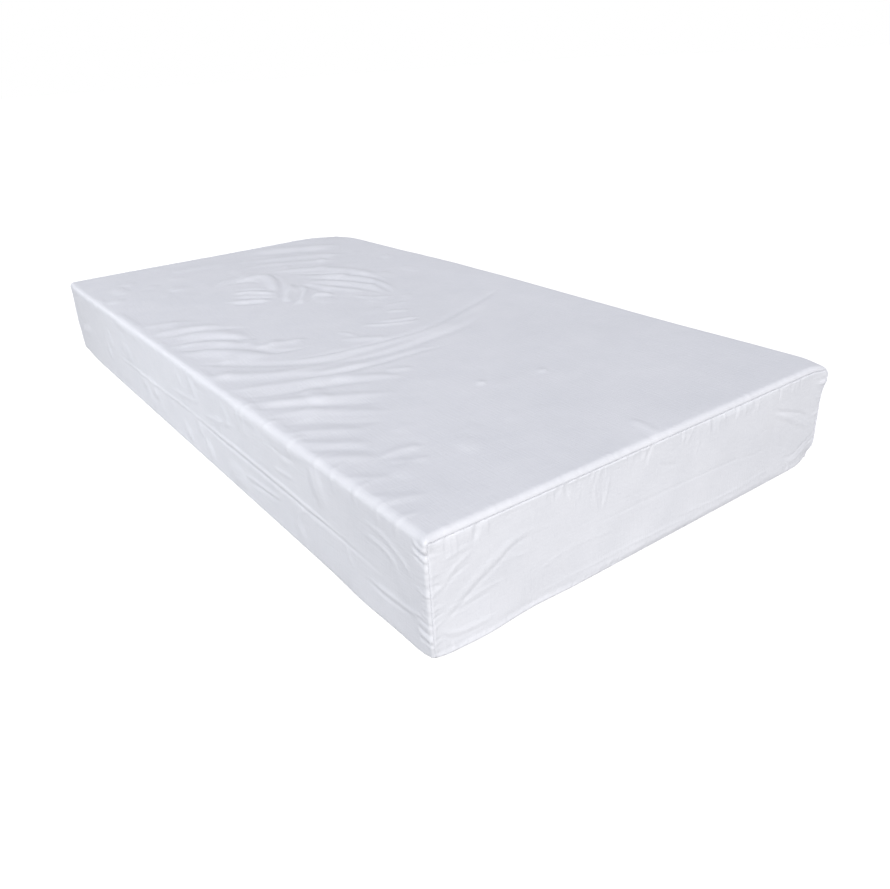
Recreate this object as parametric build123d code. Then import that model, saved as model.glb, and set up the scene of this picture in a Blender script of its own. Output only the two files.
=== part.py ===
from build123d import *
import os

# A pressure relief mattress for a care bed: a zipped fabric cover, a fire sleeve and a foam core.
# Millimetres. +Z is up, +Y runs from the foot end to the head end, and the zip is on the +X side.
# The origin is the middle of the base.

# The whole mattress
WIDTH = 1000
LENGTH = 2000
HEIGHT = 220
CORNER_RADIUS = 18
TOP_RADIUS = 16
BASE_RADIUS = 10

# The cover
FABRIC = 1.2
END_SEAM_IN = 6         # the end panel's upright seams, in from the long sides
END_SEAM_DOWN = 12      # its top seam, below the top
BASE_SEAM_UP = 12       # the base sheet's seam, above the base
SEAM_TAPE = 1.0
SEAM_TAPE_REACH = 22    # how far the binding reaches from the corner it follows
REACH_PAST = 1          # how far cutting boxes run past what they cut

# The foam core and its sleeve
SLEEVE_GAP_SIDE = 6     # room for the zip at the long sides
SLEEVE_GAP_END = 2.7
SLEEVE_GAP_FLAT = 2.5   # above and below
SLEEVE = 1.0
SLEEVE_EDGE_RADIUS = 13
CORE_GAP = 1.2          # from the sleeve's outside to the foam
BASE_SLAB_HEIGHT = 80
ZONE_HEIGHT = 70
RAIL_WIDTH = 90
SLOT = 5
SLOT_DEPTH = 45
HINGE_CUT = 4
HINGE_CUT_DEPTH = 32
HINGE_CUT_PLACES = (-420, -360, -300, 120, 180, 240, 520, 580)

# Each castellated zone from the head end down: its length, and its pillars across and along
ZONES = {
    "head_zone_foam": (400, 8, 4),
    "torso_zone_foam": (560, 10, 7),
    "leg_zone_foam": (560, 12, 8),
    "heel_zone_foam": (None, 16, 9),    # the rest of the length
}

# The zip, a size 8 coil
ZIP_HEIGHT = 55         # its centre line, above the base
ZIP_SLOT = 16           # the opening in the cover that shows it
ZIP_SLOT_LENGTH = 1932
ZIP_TAPE_LENGTH = 1952
ZIP_TAPE_WIDTH = 16
ZIP_TAPE = 1.0
ZIP_SLIT = 1.6          # between the two rows, where the slider's web runs
COIL_LENGTH = 1916
COIL_WIDTH = 3.2
COIL_HEIGHT = 2.3
STOP_LENGTH = 4
STOP_HEIGHT = 2.7
PATCH_LENGTH = 18
PATCH_HEIGHT = 30
GUARD_HEIGHT = 40
GUARD = 1.0

# The slider and its pull
SLIDER_LENGTH = 17
SLIDER_WIDTH = 12
SLIDER_WEB = 1.0
PLATE = 1.2
PLATE_CORNER = 3.5
PLATE_CLEARANCE = 0.35
FLANGE = 1.2
CROWN_LENGTH = 7.6
CROWN_WIDTH = 2.4
CROWN_EYE_LENGTH = 4.6
CROWN_EYE_HEIGHT = 1.9
CROWN_TOP = 0.9
PULL_BAR = 1.2          # the crossbar's diameter
PULL_ARM = 1.2
PULL_ARM_GAP = 3.4      # between the arms, round the crown
PULL_NECK = 5
PULL_LENGTH = 27
PULL_WIDTH = 8
PULL_THICK = 1.4
SLIDER_STOP_GAP = 1

# The zip's outer tape face. Heights `n` on the zip are counted outwards from it.
TAPE_FACE = WIDTH / 2 - FABRIC


def span_box(x, y, z):
    """A box given by its low and high value along each axis."""
    spans = (x, y, z)
    size = [high - low for low, high in spans]
    centre = [(high + low) / 2 for low, high in spans]
    return Pos(*centre) * Box(*size)


def soft_block(half_width, half_length, low, high, corner, top, base):
    """A block with rounded uprights, a rounded top edge and a rounded base edge."""
    block = span_box((-half_width, half_width), (-half_length, half_length), (low, high))
    block = fillet(block.edges().filter_by(Axis.Z), corner)
    block = fillet(block.faces().sort_by(Axis.Z)[-1].edges(), top)
    return fillet(block.faces().sort_by(Axis.Z)[0].edges(), base)


def mattress_form(inset):
    """The mattress's outer form, moved in by `inset` on every face."""
    return soft_block(
        WIDTH / 2 - inset,
        LENGTH / 2 - inset,
        inset,
        HEIGHT - inset,
        CORNER_RADIUS - inset,
        TOP_RADIUS - inset,
        BASE_RADIUS - inset,
    )


def both_ends(shape):
    """A shape at the foot end and its mirror image at the head end."""
    return shape, mirror(shape, Plane.XZ)


def cover_panels():
    """The cover's four panels: top wrap, foot and head panels, base sheet."""
    shell = mattress_form(0) - mattress_form(FABRIC)
    seam_x = WIDTH / 2 - END_SEAM_IN
    foot_room, head_room = both_ends(
        span_box(
            (-seam_x, seam_x),
            (-LENGTH / 2 - REACH_PAST, -LENGTH / 2 + TOP_RADIUS),
            (BASE_SEAM_UP, HEIGHT - END_SEAM_DOWN),
        )
    )
    base_room = span_box(
        (-WIDTH, WIDTH), (-LENGTH, LENGTH), (-REACH_PAST, BASE_SEAM_UP)
    )
    zip_room = span_box(
        (WIDTH / 2 - CORNER_RADIUS, WIDTH / 2 + REACH_PAST),
        (-ZIP_SLOT_LENGTH / 2, ZIP_SLOT_LENGTH / 2),
        (ZIP_HEIGHT - ZIP_SLOT / 2, ZIP_HEIGHT + ZIP_SLOT / 2),
    )
    return {
        "cover_top_wrap": shell - [foot_room, head_room, base_room, zip_room],
        "cover_foot_panel": shell & foot_room,
        "cover_head_panel": shell & head_room,
        "cover_base_sheet": shell & base_room,
    }


def seam_tapes():
    """The bindings inside the cover: a ring round each end and a strip along each base edge."""
    lining = mattress_form(FABRIC) - mattress_form(FABRIC + SEAM_TAPE)
    end_y = LENGTH / 2 - SEAM_TAPE_REACH
    inner_x = WIDTH / 2 - SEAM_TAPE_REACH
    end_room = span_box((-WIDTH, WIDTH), (-LENGTH, -end_y), (0, HEIGHT))
    panel_middle = span_box(
        (-inner_x, inner_x),
        (-LENGTH, -end_y),
        (SEAM_TAPE_REACH, HEIGHT - SEAM_TAPE_REACH),
    )
    foot_ring = lining & end_room
    foot_ring = foot_ring - panel_middle
    foot_tape, head_tape = both_ends(foot_ring)
    base_band = span_box((-WIDTH, WIDTH), (-end_y, end_y), (0, SEAM_TAPE_REACH))
    base_middle = span_box(
        (-inner_x, inner_x), (-LENGTH, LENGTH), (-REACH_PAST, HEIGHT)
    )
    return {
        "foot_seam_tape": foot_tape,
        "head_seam_tape": head_tape,
        "base_seam_tapes": (lining & base_band) - base_middle,
    }


def sleeve_form(inset):
    """The fire sleeve's outer form, moved in by `inset`."""
    radius = SLEEVE_EDGE_RADIUS - inset
    return soft_block(
        WIDTH / 2 - SLEEVE_GAP_SIDE - inset,
        LENGTH / 2 - SLEEVE_GAP_END - inset,
        SLEEVE_GAP_FLAT + inset,
        HEIGHT - SLEEVE_GAP_FLAT - inset,
        radius + REACH_PAST,
        radius,
        radius,
    )


def castellate(block, across, along):
    """Cut crossing slots into a foam zone's top, which leave separate pillars."""
    box = block.bounding_box()
    depth = (box.max.Z - SLOT_DEPTH, box.max.Z + REACH_PAST)
    whole_x = (box.min.X - REACH_PAST, box.max.X + REACH_PAST)
    whole_y = (box.min.Y - REACH_PAST, box.max.Y + REACH_PAST)
    slots = []
    for column in range(1, across):
        x = box.min.X + box.size.X * column / across
        slots.append(span_box((x - SLOT / 2, x + SLOT / 2), whole_y, depth))
    for row in range(1, along):
        y = box.min.Y + box.size.Y * row / along
        slots.append(span_box(whole_x, (y - SLOT / 2, y + SLOT / 2), depth))
    return block - slots


def foam_core():
    """The foam pieces: base slab, side rails, castellated zones and the visco layer."""
    core = sleeve_form(CORE_GAP)
    box = core.bounding_box()
    slab_top = box.min.Z + BASE_SLAB_HEIGHT
    zone_top = slab_top + ZONE_HEIGHT
    rail_x = box.max.X - RAIL_WIDTH
    whole_x = (box.min.X, box.max.X)
    whole_y = (box.min.Y, box.max.Y)

    slab = core & span_box(whole_x, whole_y, (box.min.Z, slab_top))
    hinge_cuts = [
        span_box(
            (-WIDTH, WIDTH),
            (y - HINGE_CUT / 2, y + HINGE_CUT / 2),
            (0, box.min.Z + HINGE_CUT_DEPTH),
        )
        for y in HINGE_CUT_PLACES
    ]
    middle = (slab_top, zone_top)
    pieces = {
        "base_foam_slab": slab - hinge_cuts,
        "side_rail_left": core & span_box((box.min.X, -rail_x), whole_y, middle),
        "side_rail_right": core & span_box((rail_x, box.max.X), whole_y, middle),
        "visco_top_layer": core & span_box(whole_x, whole_y, (zone_top, box.max.Z)),
    }
    head_y = box.max.Y
    for name, (length, across, along) in ZONES.items():
        foot_y = box.min.Y if length is None else head_y - length
        zone = core & span_box((-rail_x, rail_x), (foot_y, head_y), middle)
        pieces[name] = castellate(zone, across, along)
        head_y = foot_y
    return pieces


def zip_bar(length, across, outwards, centre=0):
    """A bar on the zip: its length, its span across the zip and its span outwards."""
    return span_box(
        (TAPE_FACE + outwards[0], TAPE_FACE + outwards[1]),
        (centre - length / 2, centre + length / 2),
        (ZIP_HEIGHT + across[0], ZIP_HEIGHT + across[1]),
    )


def lower_of(shape):
    """The lower row's piece, the mirror image of the upper row's."""
    return mirror(shape, Plane.XY.offset(ZIP_HEIGHT))


def coil_row():
    """The upper row of coil teeth, as one rounded bar."""
    inner = ZIP_SLIT / 2
    bar = zip_bar(COIL_LENGTH, (inner, inner + COIL_WIDTH), (0, COIL_HEIGHT))
    outer_edges = bar.faces().sort_by(Axis.X)[-1].edges().filter_by(Axis.Y)
    return fillet(outer_edges, COIL_HEIGHT / 3)


def guard_strip():
    """The facing strip behind the zip, joined to the upper tape along its top edge."""
    sleeve_face = WIDTH / 2 - SLEEVE_GAP_SIDE
    back = sleeve_face + GUARD
    top = ZIP_HEIGHT + ZIP_SLIT / 2 + ZIP_TAPE_WIDTH
    half = ZIP_TAPE_LENGTH / 2
    strip = span_box((back, back + GUARD), (-half, half), (top - GUARD_HEIGHT, top))
    ledge = span_box((back, TAPE_FACE - ZIP_TAPE), (-half, half), (top - 2 * GUARD, top))
    return strip + ledge


def zip_fixed_parts():
    """Everything of the zip that is sewn or crimped in place."""
    inner = ZIP_SLIT / 2
    row_outer = inner + COIL_WIDTH
    stop_outer = row_outer + PLATE_CLEARANCE
    stop_y = (COIL_LENGTH + STOP_LENGTH) / 2
    tape = zip_bar(ZIP_TAPE_LENGTH, (inner, inner + ZIP_TAPE_WIDTH), (-ZIP_TAPE, 0))
    coil = coil_row()
    top_stop = zip_bar(STOP_LENGTH, (inner, stop_outer), (0, STOP_HEIGHT), stop_y)
    bottom_stop = zip_bar(
        STOP_LENGTH, (-stop_outer, stop_outer), (0, STOP_HEIGHT), -stop_y
    )
    patch_y = stop_y + STOP_LENGTH / 2 + REACH_PAST + PATCH_LENGTH / 2
    patch = zip_bar(
        PATCH_LENGTH,
        (-PATCH_HEIGHT / 2, PATCH_HEIGHT / 2),
        (FABRIC, 2 * FABRIC),
        -patch_y,
    )
    return {
        "zip_tape_upper": tape,
        "zip_tape_lower": lower_of(tape),
        "zip_coil_upper": coil,
        "zip_coil_lower": lower_of(coil),
        "zip_top_stops": Compound([top_stop, lower_of(top_stop)]),
        "zip_bottom_stop": bottom_stop,
        "zip_end_patches": Compound(list(both_ends(patch))),
        "zip_guard_strip": guard_strip(),
    }


def slider_plate(low):
    """One of the slider's two rounded plates, from its inner height on the zip."""
    half = SLIDER_WIDTH / 2
    plate = zip_bar(SLIDER_LENGTH, (-half, half), (low, low + PLATE), slider_centre())
    return fillet(plate.edges().filter_by(Axis.X), PLATE_CORNER)


def slider_centre():
    """Where the slider stands along the zip when the zip is closed."""
    return (COIL_LENGTH - SLIDER_LENGTH) / 2 - SLIDER_STOP_GAP


def top_plate_low():
    return COIL_HEIGHT + PLATE_CLEARANCE


def pull_height():
    """The crossbar's centre, outwards from the tape."""
    return top_plate_low() + PLATE + CROWN_EYE_HEIGHT / 2


def zip_slider():
    """The slider: two plates joined by a web between the rows, side flanges and a crown."""
    y = slider_centre()
    low = top_plate_low()
    top = low + PLATE
    under = -ZIP_TAPE - PLATE_CLEARANCE
    web_half = SLIDER_WEB / 2
    web = zip_bar(SLIDER_LENGTH - 4, (-web_half, web_half), (under, low), y)
    flange_in = ZIP_SLIT / 2 + COIL_WIDTH + PLATE_CLEARANCE
    flange = zip_bar(
        SLIDER_LENGTH - 2 * PLATE_CORNER,
        (flange_in, flange_in + FLANGE),
        (PLATE_CLEARANCE, low),
        y,
    )
    crown_half = CROWN_WIDTH / 2
    crown_top = top + CROWN_EYE_HEIGHT + CROWN_TOP
    crown = zip_bar(CROWN_LENGTH, (-crown_half, crown_half), (top, crown_top), y)
    crown_edges = crown.faces().sort_by(Axis.X)[-1].edges().filter_by(Axis.Z)
    crown = fillet(crown_edges, CROWN_EYE_HEIGHT)
    eye = zip_bar(
        CROWN_EYE_LENGTH, (-CROWN_WIDTH, CROWN_WIDTH), (top, top + CROWN_EYE_HEIGHT), y
    )
    body = slider_plate(low) + slider_plate(under - PLATE) + web
    return body + [flange, lower_of(flange), crown - eye]


def zip_pull():
    """The pull: a crossbar in the crown, two arms and a flat tab that ends in a round."""
    y = slider_centre()
    x = TAPE_FACE + pull_height()
    arm_in = PULL_ARM_GAP / 2
    arm_out = arm_in + PULL_ARM
    bar = Pos(x, y, ZIP_HEIGHT) * Cylinder(PULL_BAR / 2, 2 * arm_out)
    thick = (pull_height() - PULL_THICK / 2, pull_height() + PULL_THICK / 2)
    arm_length = PULL_NECK + PULL_ARM
    arm = zip_bar(arm_length, (arm_in, arm_out), thick, y - arm_length / 2)
    arm_end = Pos(x, y, ZIP_HEIGHT + (arm_in + arm_out) / 2) * Cylinder(PULL_THICK / 2, PULL_ARM)
    tab_length = PULL_LENGTH - PULL_NECK
    half = PULL_WIDTH / 2
    tab = zip_bar(tab_length, (-half, half), thick, y - PULL_NECK - tab_length / 2)
    corners = tab.edges().filter_by(Axis.X)
    tab = fillet(corners.sort_by(Axis.Y)[:2], half - PULL_BAR / 2)
    tab = fillet(tab.edges().filter_by(Axis.X).sort_by(Axis.Y)[-2:], PULL_BAR)
    return tab + [arm, lower_of(arm), arm_end, lower_of(arm_end), bar]


def mattress_nodes():
    """Every node of the mattress by name."""
    nodes = {**cover_panels(), **seam_tapes(), **foam_core(), **zip_fixed_parts()}
    nodes["fire_sleeve"] = sleeve_form(0) - sleeve_form(SLEEVE)
    nodes["zip_slider"] = zip_slider()
    nodes["zip_pull"] = zip_pull()
    return nodes


def main():
    os.makedirs("parts", exist_ok=True)
    for name, shape in mattress_nodes().items():
        shape.label = name
        export_step(shape, f"parts/{name}.step")


main()
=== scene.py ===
import math

import bmesh
import bpy
import numpy as np
from mathutils import Matrix, Vector


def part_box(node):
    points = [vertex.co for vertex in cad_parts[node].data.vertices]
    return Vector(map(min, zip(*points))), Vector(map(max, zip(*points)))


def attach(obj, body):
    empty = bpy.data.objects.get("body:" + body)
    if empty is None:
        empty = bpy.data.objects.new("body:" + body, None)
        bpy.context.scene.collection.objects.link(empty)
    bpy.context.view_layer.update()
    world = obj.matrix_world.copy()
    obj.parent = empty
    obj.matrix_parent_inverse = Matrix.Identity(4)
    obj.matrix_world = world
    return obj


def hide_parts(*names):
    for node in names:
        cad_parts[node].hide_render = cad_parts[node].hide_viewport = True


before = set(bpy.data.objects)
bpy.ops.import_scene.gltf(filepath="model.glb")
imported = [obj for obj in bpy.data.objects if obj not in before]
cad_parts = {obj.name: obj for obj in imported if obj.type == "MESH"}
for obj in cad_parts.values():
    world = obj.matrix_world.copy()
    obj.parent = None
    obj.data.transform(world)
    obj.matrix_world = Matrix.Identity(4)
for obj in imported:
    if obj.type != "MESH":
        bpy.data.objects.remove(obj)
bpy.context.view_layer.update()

BODY = "mattress"
MM = 0.001

# ---------------------------------------------------------------- sizes, from the frame

WRAP_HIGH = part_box("cover_top_wrap")[1]
BASE_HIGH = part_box("cover_base_sheet")[1]
PANEL_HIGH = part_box("cover_foot_panel")[1]
TAPE_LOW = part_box("zip_tape_lower")[0]
TAPE_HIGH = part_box("zip_tape_upper")[1]
PATCH_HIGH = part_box("zip_end_patches")[1]
HALF_WIDTH = WRAP_HIGH.x
HALF_LENGTH = BASE_HIGH.y
TOP = WRAP_HIGH.z
SEAM_X = PANEL_HIGH.x
SEAM_TOP = PANEL_HIGH.z
SEAM_BASE = 1.8 * MM  # the base seam lies almost on the bed, lower than CAD's firm form has it

ROLL = 14 * MM  # radius of the soft long edges
FLAT = HALF_WIDTH - ROLL  # from the middle to where the roll starts
TURN = ROLL * math.pi / 2  # the roll's arc
SIDE_TOP = TOP - ROLL
ACROSS = FLAT + TURN + SIDE_TOP - SEAM_BASE  # from the middle to the base seam, over the fabric
SIDE_ROUND = HALF_WIDTH - SEAM_X  # radius of the upright corners
STRAIGHT = HALF_LENGTH - SIDE_ROUND  # from the middle to where those start
TOP_ROUND = 10 * MM  # radius of the edge over each end panel
TOP_DROP = TOP - SEAM_TOP  # from the top down to the end seams
TUCK = 6 * MM  # the seam allowance that turns inside
SEAM_DIP = 1.7 * MM  # how deep the fabric dives into a seam
SEAM_DIP_REACH = 1.7 * MM  # and how far from the seam it does
BASE_DIP_SHARE = 0.25  # the base seam's dip is this much of the others'

ZIP_Z = (TAPE_LOW.z + TAPE_HIGH.z) / 2
ZIP_SLOT_HALF = 8 * MM  # the opening in the cover, above and below ZIP_Z
ZIP_SLOT_END = PATCH_HIGH.y - 15 * MM
PATCH_LENGTH = 18 * MM  # of each end patch, along the zip
COIL_GAP = 0.12 * MM  # from ZIP_Z to each coil, which almost meet
BINDING_REACH = 20 * MM  # each binding, on either side of its seam
BINDING_UNDER = 4.6 * MM  # from the cover's outside to the bindings
SLEEVE_UNDER = 5.3 * MM  # and to the sleeve
FOAM_SHRINK = 3.2 * MM  # from the CAD foam's outside to the soft foam's
COLLIDER_UNDER = 2.2 * MM  # the block that the simulated cloth lies on
SLEEVE_FLOOR = 2.6 * MM  # the sleeve's underside, above the bed
SLIT_HALF = 350 * MM  # half of the slit in it

WRAP_WAVES = ((1.5, 310), (0.5, 130), (0.16, 45), (0.08, 19))  # height and size, in millimetres
PANEL_WAVES = ((1.6, 220), (0.7, 70), (0.25, 30))
HOLLOW = 1.2 * MM  # the shallow hollow in the middle of the top
CROWN = 6.5 * MM  # the rise of the top's right edge
SETTLED = (-2 * MM, 4 * MM)  # the least and the most that the simulation adds
WRAP_RELIEF = (-5 * MM, 10 * MM)  # the least and the most relief on the wrap
PANEL_RELIEF = (-5 * MM, 9 * MM)
WRAP_SCALE = (1.5, 1.25)  # how much higher and wider the folds are made
LEFT_SCALE = (0.6, 0.6)
PANEL_SCALE = (0.5, 0.52)
END_STITCH = (3.4 * MM, 1.4 * MM)  # the length of a stitch and the gap after it
ZIP_STITCH = (3.2 * MM, 1.0 * MM)
PATCH_STITCH = (2.2 * MM, 0.9 * MM)

# Where the soft cover leaves its plain form: a place, how far the change reaches and its move.
# A place is a share of the half width, a share of the half length and a height. The height, the
# reach and the move are in millimetres.
SHAPE_MOVES = [
    ((1, -1, 222), 30, (0, 2, -9)),  # the foot-right corner's top, folded down
    ((1.004, -1.002, 190), 27, (10, -4, 1)),  # its ear
    ((1, -1, 0), 50, (-6, 0, 1)),
    ((1, -1, 0), 36, (-8, 5, 8)),  # its rounded bottom
    ((-1, -1, 0), 20, (3, 3, 3)),  # the foot-left corner's bottom
    ((-0.8, -1, 0), 50, (0, -4, 1)),  # the panel's bulge beside it
    ((-0.58, -1, 0), 55, (0, 2, 1)),
    ((-1, -0.8, 0), 70, (-3, 0, 0)),
    ((-0.996, -0.998, 212), 13, (-3, -4, 2)),  # its small ear
    ((-1, 1, 190), 70, (6, 0, 0)),
    ((-1, 1, 0), 120, (4, -4, 5)),
    ((1, 1, 220), 90, (-9, -12, -9)),
]


# ---------------------------------------------------------------- number helpers


def smooth(low, high, value):
    """0 below `low`, 1 above `high` and a smooth rise between."""
    t = np.clip((value - low) / (high - low), 0, 1)
    return t * t * (3 - 2 * t)


def noise(u, v, size, seed):
    """Smooth noise from -1 to 1 over the plane (u, v), with lumps about `size` across."""
    rng = np.random.default_rng(seed)
    table = rng.uniform(-1, 1, (64, 64))
    gu, gv = u / size + 1000, v / size + 1000
    iu, iv = np.floor(gu).astype(int), np.floor(gv).astype(int)
    fu, fv = gu - iu, gv - iv
    fu, fv = fu * fu * (3 - 2 * fu), fv * fv * (3 - 2 * fv)

    def corner(du, dv):
        return table[(iu + du) % 64, (iv + dv) % 64]

    low = corner(0, 0) * (1 - fu) + corner(1, 0) * fu
    high = corner(0, 1) * (1 - fu) + corner(1, 1) * fu
    return low * (1 - fv) + high * fv


def waves(u, v, layers, seed):
    """Layers of noise, each a height and a size in millimetres, with seeds that count up."""
    return sum(height * MM * noise(u, v, size * MM, seed + i) for i, (height, size) in enumerate(layers))


def mound(u, v, centre, reach):
    """A round rise of height 1 about a centre."""
    return np.exp(-(((u - centre[0]) / reach[0]) ** 2 + ((v - centre[1]) / reach[1]) ** 2))


def unit(vectors):
    """Vectors along the last axis, drawn to length 1."""
    return vectors / np.linalg.norm(vectors, axis=-1, keepdims=True)


def rings(line, one_way, other_way, radius):
    """Six points round each point of a line, in the plane of two directions."""
    angle = (np.arange(6) * math.pi / 3)[:, None]
    turned = np.cos(angle) * one_way[..., None, :] + np.sin(angle) * other_way[..., None, :]
    return line[..., None, :] + radius * turned


def curve_through(points, count=28):
    """A smooth curve through a few points, as `count` points on it."""
    p = np.array(points, float)
    p = np.vstack([2 * p[0] - p[1], p, 2 * p[-1] - p[-2]])
    spans = len(p) - 3
    at = np.linspace(0, spans, count)
    k = np.minimum(at.astype(int), spans - 1)
    t = (at - k)[:, None]
    a, b, c, d = p[k], p[k + 1], p[k + 2], p[k + 3]
    return 0.5 * (2 * b + (c - a) * t + (2 * a - 5 * b + 4 * c - d) * t**2
                  + (3 * b - a - 3 * c + d) * t**3)


def folds_over(u, v, folds):
    """The summed height of folds over (u, v): each a height and a half width in millimetres,
    and the points it runs through in metres. A negative height is a crease."""
    total = np.zeros_like(u)
    for height, half_width, points in folds:
        line = curve_through(points)
        reach = 3.2 * half_width * MM
        near = ((u > line[:, 0].min() - reach) & (u < line[:, 0].max() + reach)
                & (v > line[:, 1].min() - reach) & (v < line[:, 1].max() + reach))
        if not near.any():
            continue
        pu, pv = u[near], v[near]
        best = np.full(pu.shape, 9.0)
        along = np.zeros(pu.shape)
        for i, (start, end) in enumerate(zip(line[:-1], line[1:])):
            step = end - start
            t = ((pu - start[0]) * step[0] + (pv - start[1]) * step[1]) / max(step @ step, 1e-12)
            t = np.clip(t, 0, 1)
            gap = np.hypot(pu - start[0] - t * step[0], pv - start[1] - t * step[1])
            closer = gap < best
            best[closer] = gap[closer]
            along[closer] = (i + t[closer]) / (len(line) - 1)
        taper = smooth(0, 0.3, along) * smooth(0, 0.3, 1 - along)
        q = best / (half_width * MM * (0.45 + 0.55 * taper))
        total[near] += height * MM * taper * (1.3 * np.exp(-q * q) - 0.3 * np.exp(-q * q / 5))
    return total


def spaced(low, high, step):
    """Even places from `low` to `high`, about `step` apart."""
    return np.linspace(low, high, max(2, int(round((high - low) / step)) + 1))


def places(start, *stretches):
    """Even places from `start` on, over stretches that each have an end and a step."""
    found = []
    for end, step in stretches:
        found.append(spaced(start, end, step))
        start = end
    return np.unique(np.round(np.concatenate(found), 7))


def mirrored(half):
    """Places from 0 up, and the same ones below 0."""
    return np.concatenate([-half[:0:-1], half])


def away_from_zip(x, y, z):
    """0 on the zip, which keeps the fabric about it flat, and 1 a few centimetres away."""
    past_end = np.maximum(np.abs(y) - PATCH_HIGH.y, 0)
    gap = np.hypot(np.hypot(past_end, z - ZIP_Z), np.maximum(HALF_WIDTH - 20 * MM - x, 0))
    return smooth(17 * MM, 50 * MM, gap)


def shaped(points):
    """Points of the plain cover after the soft changes of shape at its corners and edges."""
    moved = points.copy()
    free = away_from_zip(points[..., 0], points[..., 1], points[..., 2])
    for place, reach, move in SHAPE_MOVES:
        gap = np.linalg.norm(points - np.array(place) * (HALF_WIDTH, HALF_LENGTH, MM), axis=-1)
        share = free * np.exp(-((gap / (reach * MM)) ** 2))
        moved += share[..., None] * np.array(move) * MM
    moved[..., 2] = np.maximum(moved[..., 2], np.minimum(points[..., 2], 0.2 * MM))
    return moved


# ---------------------------------------------------------------- meshes


def set_all(target, **values):
    """Sets several of a Blender object's settings."""
    for key, value in values.items():
        setattr(target, key, value)


def finish_piece(obj, node=None, material=None):
    """Makes a piece ride on the mattress, with its material and the CAD node it stands for."""
    if material:
        obj.data.materials.clear()
        obj.data.materials.append(material)
    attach(obj, BODY)
    if node:
        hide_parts(node)


def in_scene(name, data):
    """A new object with its data, in the scene."""
    obj = bpy.data.objects.new(name, data)
    bpy.context.scene.collection.objects.link(obj)
    return obj


def coordinates(mesh):
    """A mesh's points as an array."""
    co = np.empty(len(mesh.vertices) * 3)
    mesh.vertices.foreach_get("co", co)
    return co.reshape(-1, 3)


def move_points(mesh, points):
    """Gives a mesh's points new places."""
    mesh.vertices.foreach_set("co", points.ravel())
    mesh.update()


def piece_from(name, points, faces, uv=None):
    """An object from its points and faces, shaded smooth, with fabric UVs in metres."""
    mesh = bpy.data.meshes.new(name)
    points = np.asarray(points, float)
    faces = np.asarray(faces, int)
    mesh.vertices.add(len(points))
    mesh.vertices.foreach_set("co", points.ravel())
    mesh.loops.add(faces.size)
    mesh.loops.foreach_set("vertex_index", faces.ravel())
    mesh.polygons.add(len(faces))
    mesh.polygons.foreach_set("loop_start", np.arange(len(faces)) * faces.shape[1])
    mesh.polygons.foreach_set("loop_total", np.full(len(faces), faces.shape[1]))
    mesh.update(calc_edges=True)
    mesh.validate()
    mesh.polygons.foreach_set("use_smooth", [True] * len(mesh.polygons))
    if uv is not None:
        layer = mesh.uv_layers.new(name="cloth")
        layer.data.foreach_set("uv", np.asarray(uv)[faces.ravel()].ravel())
    return in_scene(name, mesh)


def grid_faces(rows, columns, keep=None, closed=False):
    """The quads of a grid of points, without those where `keep` is False."""
    index = np.arange(rows * columns).reshape(rows, columns)
    if closed:
        index = np.hstack([index, index[:, :1]])
    quads = np.stack([index[:-1, :-1], index[:-1, 1:], index[1:, 1:], index[1:, :-1]], -1)
    if keep is not None:
        return quads[keep]
    return quads.reshape(-1, 4)


def grid_piece(name, points, uv=None, flip=False, keep=None, closed=False):
    """A sheet from a grid of points, without its unused points."""
    rows, columns = points.shape[:2]
    faces = grid_faces(rows, columns, keep, closed)
    if flip:
        faces = faces[:, ::-1]
    used, faces = np.unique(faces, return_inverse=True)
    faces = faces.reshape(-1, 4)
    uv = None if uv is None else uv.reshape(-1, 2)[used]
    return piece_from(name, points.reshape(-1, 3)[used], faces, uv)


# ---------------------------------------------------------------- the cover's form


def wrap_form(a, r):
    """Point, normal and distance to the end seam on the top wrap, before any fold. `a` runs
    over the fabric from the middle of the top. `r` runs along it: to 1 on the straight, to 2
    round the end's edge, to 3 down to the seam and to 4 in the allowance."""
    side = np.abs(a) - FLAT
    angle = np.clip(side / ROLL, 0, math.pi / 2)
    down = np.clip(side - TURN, 0, None)
    nx, nz = np.sign(a) * np.sin(angle), np.cos(angle)
    x = np.where(side < 0, a, np.sign(a) * (FLAT + ROLL * np.sin(angle)))
    z = TOP - ROLL * (1 - np.cos(angle)) - down
    on_top = 1 - smooth(0.25, 1.35, angle)
    rounding = SIDE_ROUND + (TOP_ROUND - SIDE_ROUND) * on_top
    inset_end = SIDE_ROUND + (TOP_DROP - SIDE_ROUND) * on_top
    end, reach = np.sign(r), np.abs(r)
    phi = np.clip(reach - 1, 0, 1) * math.pi / 2
    drop = np.clip(reach - 2, 0, 1)
    tuck = np.clip(reach - 3, 0, 1) * TUCK
    inset = rounding * (1 - np.cos(phi)) + (inset_end - rounding) * drop
    straight = HALF_LENGTH - rounding
    y = end * (np.minimum(reach, 1) * straight + rounding * np.sin(phi) - tuck)
    point = np.stack([x - inset * nx, y, z - inset * nz], -1)
    normal = np.stack([nx * np.cos(phi), end * np.sin(phi), nz * np.cos(phi)], -1)
    to_seam = ((1 - np.minimum(reach, 1)) * straight + rounding * (math.pi / 2 - phi)
               + (inset_end - rounding) * (1 - drop))
    return point, normal, to_seam


def side_a(z):
    """The wrap's across coordinate at a height on its side."""
    return FLAT + TURN + SIDE_TOP - z


def seam_dip(distance, along):
    """How far the fabric dives into a seam, by its distance from it, uneven along the seam."""
    uneven = 0.75 + 0.25 * noise(along, 0 * along, 9 * MM, 25)
    return -SEAM_DIP * uneven * np.exp(-((distance / SEAM_DIP_REACH) ** 2))
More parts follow.
